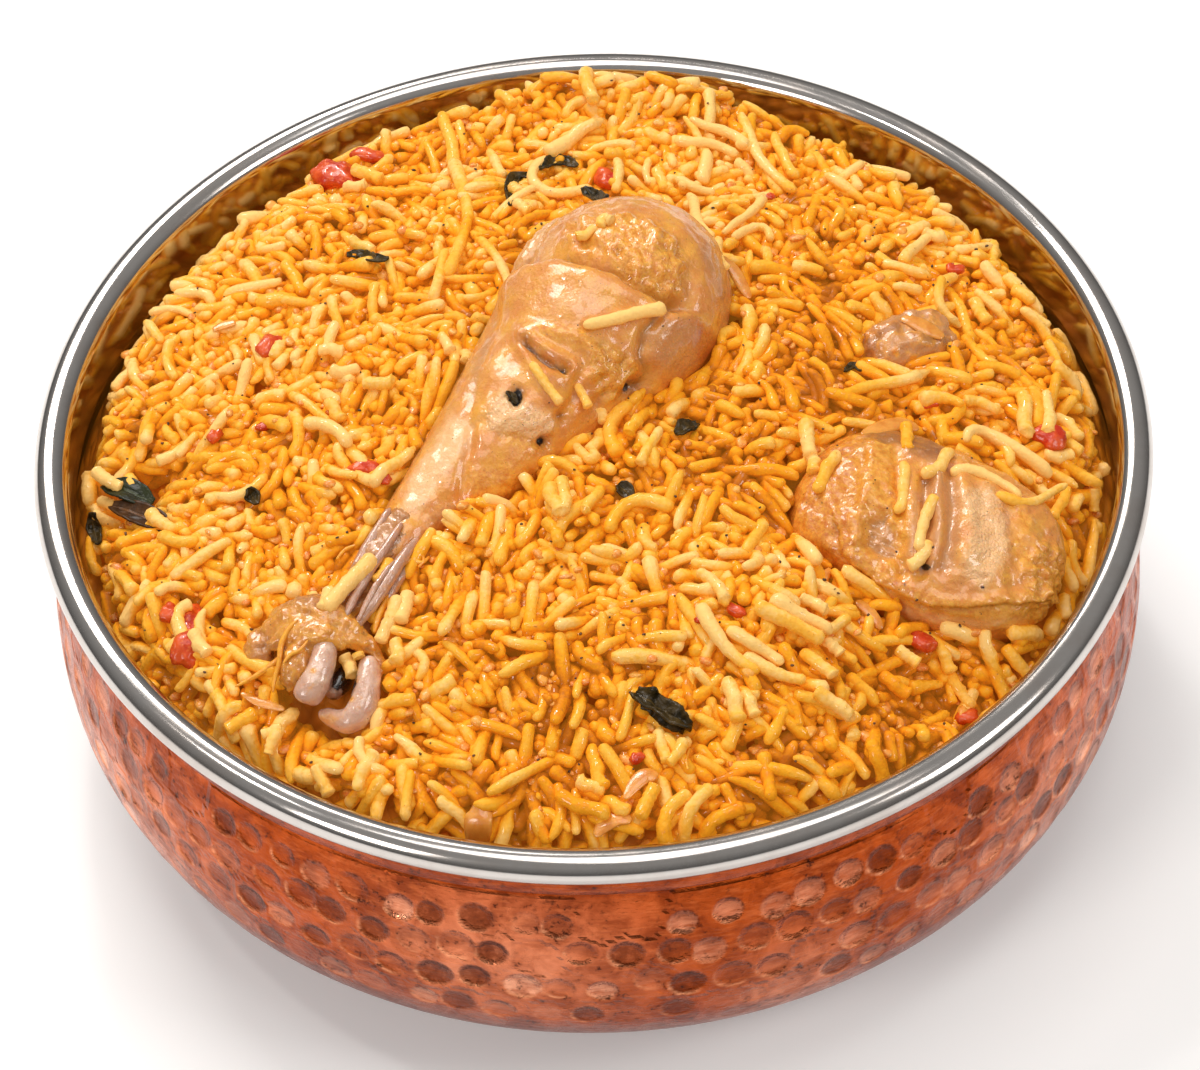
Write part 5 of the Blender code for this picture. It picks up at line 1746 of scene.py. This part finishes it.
def make_leaves(surface):
    skin = leaf_skin()
    green = leaf_finish("cooked green leaf", skin, (0.008, 0.010, 0.003), (0.026, 0.032, 0.007))
    brown = leaf_finish("browned leaf", skin, (0.030, 0.011, 0.002), (0.100, 0.036, 0.006))
    black = leaf_finish("wilted herb", skin, (0.012, 0.009, 0.003), (0.085, 0.050, 0.012), 0.34)
    marks = trace(-799, 82, 18, -5, 21, -6, 21, -10, 19, -9)
    settle(leaf("leaf_green_by_wall", marks, [55.6, 56.4, 57.0, 57.2, 57.0], (0.9, 1.9, 2.3, 1.9, 0.7), 0.25, 0.32,
                0.25, 1.0),
           green, "leaf_green", "leaf_left_green")
    marks = trace(-786, 47, 26, -8, 29, -12, 29, -14, 32, -19)
    settle(leaf("leaf_brown_by_wall", marks, [56.0, 56.9, 57.5, 58.2, 59.0], (0.8, 1.9, 2.2, 1.7, 0.5), 0.35, 0.32,
                0.25, 2.0),
           brown, "leaf_brown", "leaf_left_brown")
    front = []
    for marks, lifts, *shape in (
            (trace(58, -256, 16, -11, 18, -12, 19, -11, 18, -11, 16, -12), (0.2, 0.9, 1.0, 1.1, 0.8, 0.1),
             (0.9, 1.7, 1.5, 1.7, 1.5, 0.5), 0.9, 0.5, 0.7, 3.0),
            (trace(66, -275, 18, 1, 16, -10, 18, -17, 17, -15), (0.1, 1.0, 0.9, 0.7, 0.1),
             (0.5, 1.2, 1.4, 1.2, 0.4), -0.6, 0.45, 0.6, 4.0)):
        heights = [lies_at(place, surface)[2] + lift for place, lift in zip(marks, lifts)]
        front.append(leaf("front", marks, heights, *shape))
    settle(joined("wilted_herb_front", front), black, "leaf_brown", "leaf_front")
    bits = []
    for index, (marks, widths) in enumerate((
            (trace(-408, 451, 21, -2, 23, -6, 24, 3), (0.5, 1.2, 1.1, 0.3)),
            (trace(-143, 532, -2, 24, 10, 19, 22, 3), (0.4, 0.9, 1.1, 0.5)),
            (trace(-97, 588, 20, 10, 21, 3, 19, -8), (0.5, 1.3, 1.2, 0.5)),
            (trace(-27, 559, 14, -13, 18, -8, 19, -3), (0.5, 1.3, 1.2, 0.4)),
            (trace(-567, 76, 6, -13, 8, -15), (0.4, 1.3, 0.4)),
            (trace(29, 82, 10, -10, 11, -14), (0.5, 1.4, 0.6)), (trace(122, 163, 17, 9, 17, 7), (0.5, 1.6, 0.5)),
            (trace(395, 263, 13, 8, 12, -5), (0.3, 0.8, 0.3)), (trace(-153, 229, 10, -8, 8, -10), (0.3, 0.9, 0.4)),
            (trace(-818, 37, 3, -29, 8, -24), (0.5, 1.2, 0.5)))):
        heights = resting_heights(marks, surface) + 0.25
        bits.append(leaf(f"leaf_bit_{index}", marks, heights, widths, 0.5, 0.35, 0.5, 10.0 + index))
    settle(joined("herb_bits", bits), black, "leaf_green")


def sliver_finish():
    finish = Finish("soft onion")
    lines = finish.noise(1.8, detail=3.0, stretch=(1.0, 1.0, 0.3))
    base = finish.mix(finish.remap(lines, 0.35, 0.65), (0.80, 0.34, 0.055), (0.66, 0.22, 0.020))
    finish.set(Base_Color=base, Roughness=0.28, Normal=finish.bump(lines, 0.3, 0.6),
               Subsurface_Weight=0.25, Subsurface_Scale=0.0015, Subsurface_Radius=(1.0, 0.5, 0.2),
               Coat_Weight=0.6, Coat_Roughness=0.08)
    return finish.material


ONION_SLIVERS = (
    (-197, -427, 5, 4, -19, 14, -4, -23, 4, -1, -22, -9), (39, -427, 5, 16, 24, 7, 19, 16, 3, 19, -6, -6),
    (-8, -488, 5, 13, 19, 8, 24, 13, 2, 23, -6, -8), (483, 350, 6, 24, -7, 9, 25, -13, 1, 24, -13, -10),
    (193, 451, 4, 21, -21, 6, 15, -27, 1, 13, -24, -6), (-625, 330, 4, 19, 8, 6, 20, 5, -4),
    (419, 161, 5, 32, 11, 11, 36, 7, 0, 29, -10, -11), (-580, -253, 3, 23, -13, 5, 25, -8, 1, 26, -8, -5),
    (411, -105, 5, 18, -13, 5, 16, -19, -1, 9, -16, -5),
)


SHREDS = (
    (-475, -172, 3, -21, -13, 2, -21, -16, 1.2, -28, -20, -1.2, -22, -13, -1.4, -24, -12, -1.8),
    (-485, -135, 2.5, -16, -16, 1.7, -13, -26, 0.8, -3, -31, -0.5, -8, -26, -0.5, -2, -22, -2.2),
    (-511, -208, 2, 12, 15, 1.6, 16, 8, -0.4, 13, 16, -1.4), (-316, -50, 3, 13, 10, 1.5, 15, -5, -0.5, 14, 11, -2),
    (-306, -32, 2.5, 13, 5, 1.5, 9, -13, -1, -9, -13, -1.2),
    (-333, -81, 3, -12, -24, 3, -13, -29, 0.2, -6, -25, -3.2), (-425, -40, 2, 14, 16, 1.2, 18, 8, -1.2),
    (142, -379, 2, -3, 17, 1, 6, 19, -1.2),
)


def shred_finish():
    finish = Finish("yellow shreds")
    fine = finish.noise(0.8, detail=2.0)
    finish.set(Base_Color=finish.mix(finish.remap(fine, 0.35, 0.65), (0.90, 0.42, 0.03), (0.82, 0.29, 0.012)),
               Roughness=0.4, Normal=finish.bump(fine, 0.15, 0.7), Coat_Weight=0.4, Coat_Roughness=0.1)
    return finish.material


def make_strands(name, rows, finish, lift, surface, **shape):
    """Strands laid on the food: each row gives the beads that a strand runs through, as places and half widths."""
    parts = []
    for row in rows:
        row = beads(row, 3)
        line = laid_line(row[:, :2], lift, surface)
        parts.append(swept(name, np.column_stack([line, row[:, 2]]), **shape))
    settle(joined(name, parts), finish, "rice")


def scattered(name, count, seed, sizes, chance, surface, sink, cuts, flat):
    """Copies one uneven crumb many times, each turned, sized and laid on the food by chance."""
    dice = rng(seed)
    deselect()
    bpy.ops.mesh.primitive_ico_sphere_add(subdivisions=cuts, radius=1.0)
    ball, faces = (np.array(rows) for rows in pattern_of(bpy.context.object))
    shapes = [ball * (1 + 0.42 * crinkle(ball, 1.1, seed + k, 1))[:, None] for k in range(6)]
    total = np.cumsum(chance.ravel())
    pick = np.searchsorted(total, dice.uniform(0, total[-1], count))
    all_points, all_faces, seeds = [], [], []
    for number, spot in enumerate(pick):
        size = dice.uniform(*sizes)
        turn = np.array(Matrix.Rotation(dice.uniform(0, math.tau), 3, "Z"))
        shape = shapes[number % 6] * [size * dice.uniform(0.9, 1.7), size, size * flat] @ turn.T
        place = np.array([GRID_X.ravel()[spot], GRID_Y.ravel()[spot], surface.ravel()[spot] - size * sink])
        all_points.append(shape + place)
        all_faces.append(faces + number * len(ball))
        seeds.append(np.full(len(ball), dice.uniform()))
    piece = mesh_piece(name, np.vstack(all_points), np.vstack(all_faces).tolist())
    mark(piece, "crumb_seed", np.concatenate(seeds))
    return piece


def make_crumbs(surface, open_rice, gap):
    """Masala crumbs and broken bits in the hollows, and dark spice specks over everything."""
    crumbs = Finish("masala crumbs")
    fine = crumbs.noise(0.7, detail=2.0)
    base = crumbs.mix(crumbs.attribute("crumb_seed"), (0.90, 0.36, 0.03), (0.72, 0.19, 0.010))
    base = crumbs.mix(crumbs.remap(fine, 0.45, 0.7, 0.0, 0.7), base, (0.93, 0.50, 0.10))
    crumbs.set(Base_Color=base, Roughness=0.5, Normal=crumbs.bump(fine, 0.2, 0.8), Coat_Weight=0.35, Coat_Roughness=0.1)
    chance = np.where(open_rice, np.maximum(gap, 0.08) ** 1.2, 0.0)
    crumb_cloud = scattered("masala_crumbs", int(900 * SHARE), 91, (0.35, 0.95), chance, surface, 0.25, 2, 0.6)
    settle(crumb_cloud, crumbs.material, "rice")
    specks = Finish("spice specks")
    grit = specks.noise(0.4, detail=1.0)
    specks.set(Base_Color=specks.mix(specks.remap(grit, 0.4, 0.6), (0.035, 0.014, 0.006), (0.14, 0.05, 0.014)),
               Roughness=0.5)
    chance = np.where(GRID_R < 80.0, np.where(open_rice, 1.0, 0.35), 0.0)
    speck_cloud = scattered("spice_specks", int(260 * SHARE), 92, (0.11, 0.26), chance, surface, -0.1, 1, 0.7)
    settle(speck_cloud, specks.material, "leaf_brown")
# --- studio

def make_studio():
    camera = bpy.data.objects.new("camera", bpy.data.cameras.new("camera"))
    camera.data.lens = VIEW_LENS
    camera.data.sensor_width = SENSOR
    camera.data.clip_start = 0.01
    matrix = Matrix((EYE_ACROSS, EYE_UP, BACK)).transposed().to_4x4()
    matrix.translation = EYE * MM
    camera.matrix_world = matrix
    bpy.context.scene.collection.objects.link(camera)
    bpy.context.scene.camera = camera

    def lamp(name, position, size, power, colour=(1, 1, 1), aim=(0, 0, 0.05)):
        data = bpy.data.lights.new(name, "AREA")
        data.shape = "RECTANGLE"
        data.size, data.size_y = size
        data.energy = power
        data.color = colour
        item = bpy.data.objects.new(name, data)
        item.location = position
        item.rotation_euler = (Vector(aim) - Vector(position)).to_track_quat("-Z", "Y").to_euler()
        bpy.context.scene.collection.objects.link(item)

    lamp("back softbox", (-0.30, 0.66, 0.72), (0.50, 0.36), 4.9, (1.0, 0.97, 0.93))
    lamp("left front lamp", (-0.50, -0.52, 0.52), (0.26, 0.26), 1.8, (1.0, 0.97, 0.93))
    lamp("right lamp", (0.62, -0.22, 0.60), (0.28, 0.28), 1.7, (1.0, 0.98, 0.95))
    lamp("top softbox", (0.05, 0.05, 1.15), (0.60, 0.60), 3.1, (1.0, 0.98, 0.95))

    lamp("back spark", (-0.14, 0.56, 0.70), (0.07, 0.07), 1.0, (1.0, 0.98, 0.95))
    lamp("left spark", (-0.42, 0.05, 0.78), (0.06, 0.06), 0.6, (1.0, 0.98, 0.95))

    world = bpy.data.worlds.new("studio")
    world.use_nodes = True
    sky = Nodes(world.node_tree)
    split = world.node_tree.nodes.new("ShaderNodeSeparateXYZ")
    sky.link(world.node_tree.nodes["Texture Coordinate"].outputs["Generated"], split.inputs[0])
    background = world.node_tree.nodes["Background"]
    background.inputs["Color"].default_value = (1.0, 0.99, 0.97, 1.0)
    sky.link(sky.remap(split.outputs["Z"], 0.05, 0.75, 0.12, 0.34), background.inputs["Strength"])
    bpy.context.scene.world = world

    deselect()
    bpy.ops.mesh.primitive_plane_add(size=6.0, location=(0, 0, 0))
    floor = bpy.context.object
    floor.name = "floor"
    finish = Finish("pale floor")
    tone = finish.mix(finish.noise(60.0), (0.95, 0.95, 0.948), (0.93, 0.93, 0.928))
    finish.set(Base_Color=tone, Roughness=0.8, Emission_Color=(1.0, 1.0, 1.0), Emission_Strength=0.17)
    floor.data.materials.append(finish.material)
    bpy.context.scene.view_settings.view_transform = "Standard"


# --- putting it together

# Where the rice is more or less orange: the place, how far it spreads and by how much
WARM_PLACES = (
    ((0.0, -44.3), 26, 0.34), ((32.2, -41.1), 14, 0.2), ((35.4, 24.2), 14, 0.55), ((49.1, -23.4), 15, 0.5),
    ((66.1, 33.0), 15, 0.3), ((-12.9, -42.7), 14, 0.15), ((-54.0, 26.6), 16, -0.3), ((19.3, 61.2), 13, -0.25),
    ((37.1, -15.3), 9, -0.35), ((0.0, -18.5), 12, 0.1), ((-30.6, 2.4), 10, 0.2), ((16.1, 10.5), 12, 0.35),
    ((-19.3, 33.0), 12, 0.2), ((37.1, 45.9), 12, 0.25), ((-67.7, -4.0), 12, 0.0), ((16.1, -26.6), 10, -0.2),
    ((-9.7, 33.0), 10, 0.25),
)

CORE_DEPTH = 4.4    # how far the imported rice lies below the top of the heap
HEAP_REACH = 82.8   # how far out a grain may lie

make_studio()
make_liner()
make_jacket()

FLESH = np.array((0.79, 0.34, 0.048))
BONE_FLESH = np.array((0.60, 0.30, 0.15))
PALER, DEEPER = (1.03, 1.08, 1.0), (0.90, 0.76, 1.0)
skin = meat_skin()
meat = meat_finish("chicken meat", skin, Flesh=tuple(FLESH * PALER), Deep_Flesh=tuple(FLESH * DEEPER),
                   Grey=(0.56, 0.250, 0.090), Pale=(0.90, 0.53, 0.25), Gloss=0.34)
gristle = meat_finish("gristle and bone", skin, Flesh=tuple(BONE_FLESH * PALER), Deep_Flesh=tuple(BONE_FLESH * DEEPER),
                      Grey=(0.60, 0.35, 0.25), Pale=(0.78, 0.55, 0.42), Gloss=0.24)
chicken = []
for make, finish, slot, *nodes in (
        (make_drumstick, meat, "chicken", "chicken_drumstick"), (make_flank, meat, "chicken"),
        (make_thigh, meat, "chicken", "chicken_thigh"), (make_small_piece, meat, "chicken", "chicken_small_piece"),
        (make_bone, gristle, "bone", "drumstick_bone"), (make_shank_skin, meat, "chicken"),
        (make_sinews, gristle, "chicken")):
    piece = make()
    settle(piece, finish, slot, *nodes)
    if make not in (make_flank, make_sinews):
        chicken.append(piece)
chicken += [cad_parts[name] for name in ("tomato_back", "tomato_left", "leaf_left_green")]

top, low = seen_from_above(chicken)
target = heap_top()
covered = np.isfinite(top) & (top > target - 1.0)
closed = blurred(covered.astype(float), 3) > 0.55
ground = target - CORE_DEPTH + 0.5 * bumpy(2.6, 7.0, 0.9)
ground = np.where(np.isfinite(low), np.minimum(ground, low - 0.8), ground)
heap = Heap(ground, target - 0.3, closed, HEAP_REACH)
heap.pour(int(5200 * SHARE), 11)
heap.poke(int(900 * SHARE), 12)
heap.poke(int(2300 * SHARE), 13, rise=(0.3, 1.7), steep=(0.25, 1.1), evenly=1.0)
heap.pour(int(500 * SHARE), 15, lengths=(9.0, 2.4), excess=1.5, tilt=0.24)
heap.poke(int(500 * SHARE), 14, rise=(0.2, 1.1), steep=(0.3, 1.3))
heap.grains = heap.showing()

patterns = grain_patterns()
surface = blurred(blurred(np.where(closed, target, heap.level), 3), 3)
zones = 0.5 + 0.42 * bumpy(15.0, 21.0) + 0.34 * bumpy(5.5, 22.0, 1.2)
for place, spread, warmer in WARM_PLACES:
    x, y = at_height(place, RIM_TOP)[:2]
    zones = zones + warmer * ridge(np.hypot(GRID_X - x, GRID_Y - y), spread)


def warmth_at(points):
    """How warm the rice is: in drifts over the heap, and warmer and darker the deeper it lies, partly sauce and partly
    painted shade in the gaps, with the top grains painted paler.
    """
    x, y, z = points.T
    deep = look_up(surface, x, y) - z
    return 0.62 * look_up(zones, x, y) + np.interp(deep, (-1.6, -0.4, 0.7, 2.4), (-0.24, -0.08, 0.28, 0.70))


kinds = {name: [] for name in RICE_KINDS}
order = sorted(heap.grains, key=lambda grain: grain["kind"])
for index, grain in enumerate(order):
    kinds[list(kinds)[index * len(kinds) // len(order)]].append(grain)
skin = rice_skin()
for index, (name, grains) in enumerate(kinds.items()):
    cloud = grain_cloud(name, grains, patterns, 60 + index, warmth_at)
    settle(cloud, rice_finish(name.replace("_", " "), RICE_KINDS[name], skin), "rice")

food = np.maximum(heap.level, np.where(np.isfinite(top), top, 0.0))
for name, rows, warmth in (("long_pale_grains", PALE_GRAINS, -0.07), ("long_golden_grains", GOLDEN_GRAINS, 0.10)):
    cloud = grain_cloud(name, stand_outs(rows, food), long_patterns(), 80 + len(rows), warmth_at)
    settle(cloud, rice_finish(name.replace("_", " "), warmth, skin), "rice")
make_tomatoes(food)
make_leaves(food)
make_strands("onion_slivers", ONION_SLIVERS, sliver_finish(), 0.45, food, flatness=0.3, sides=10, rings=12)
make_strands("yellow_shreds", SHREDS, shred_finish(), 0.5, food, sides=8, rings=16)
open_rice = (GRID_R < HEAP_REACH - 0.8) & ~closed & (heap.level > target - 3.5)
make_crumbs(food, open_rice, blurred(blurred(heap.level, 3), 3) - heap.level)
make_core(ground)
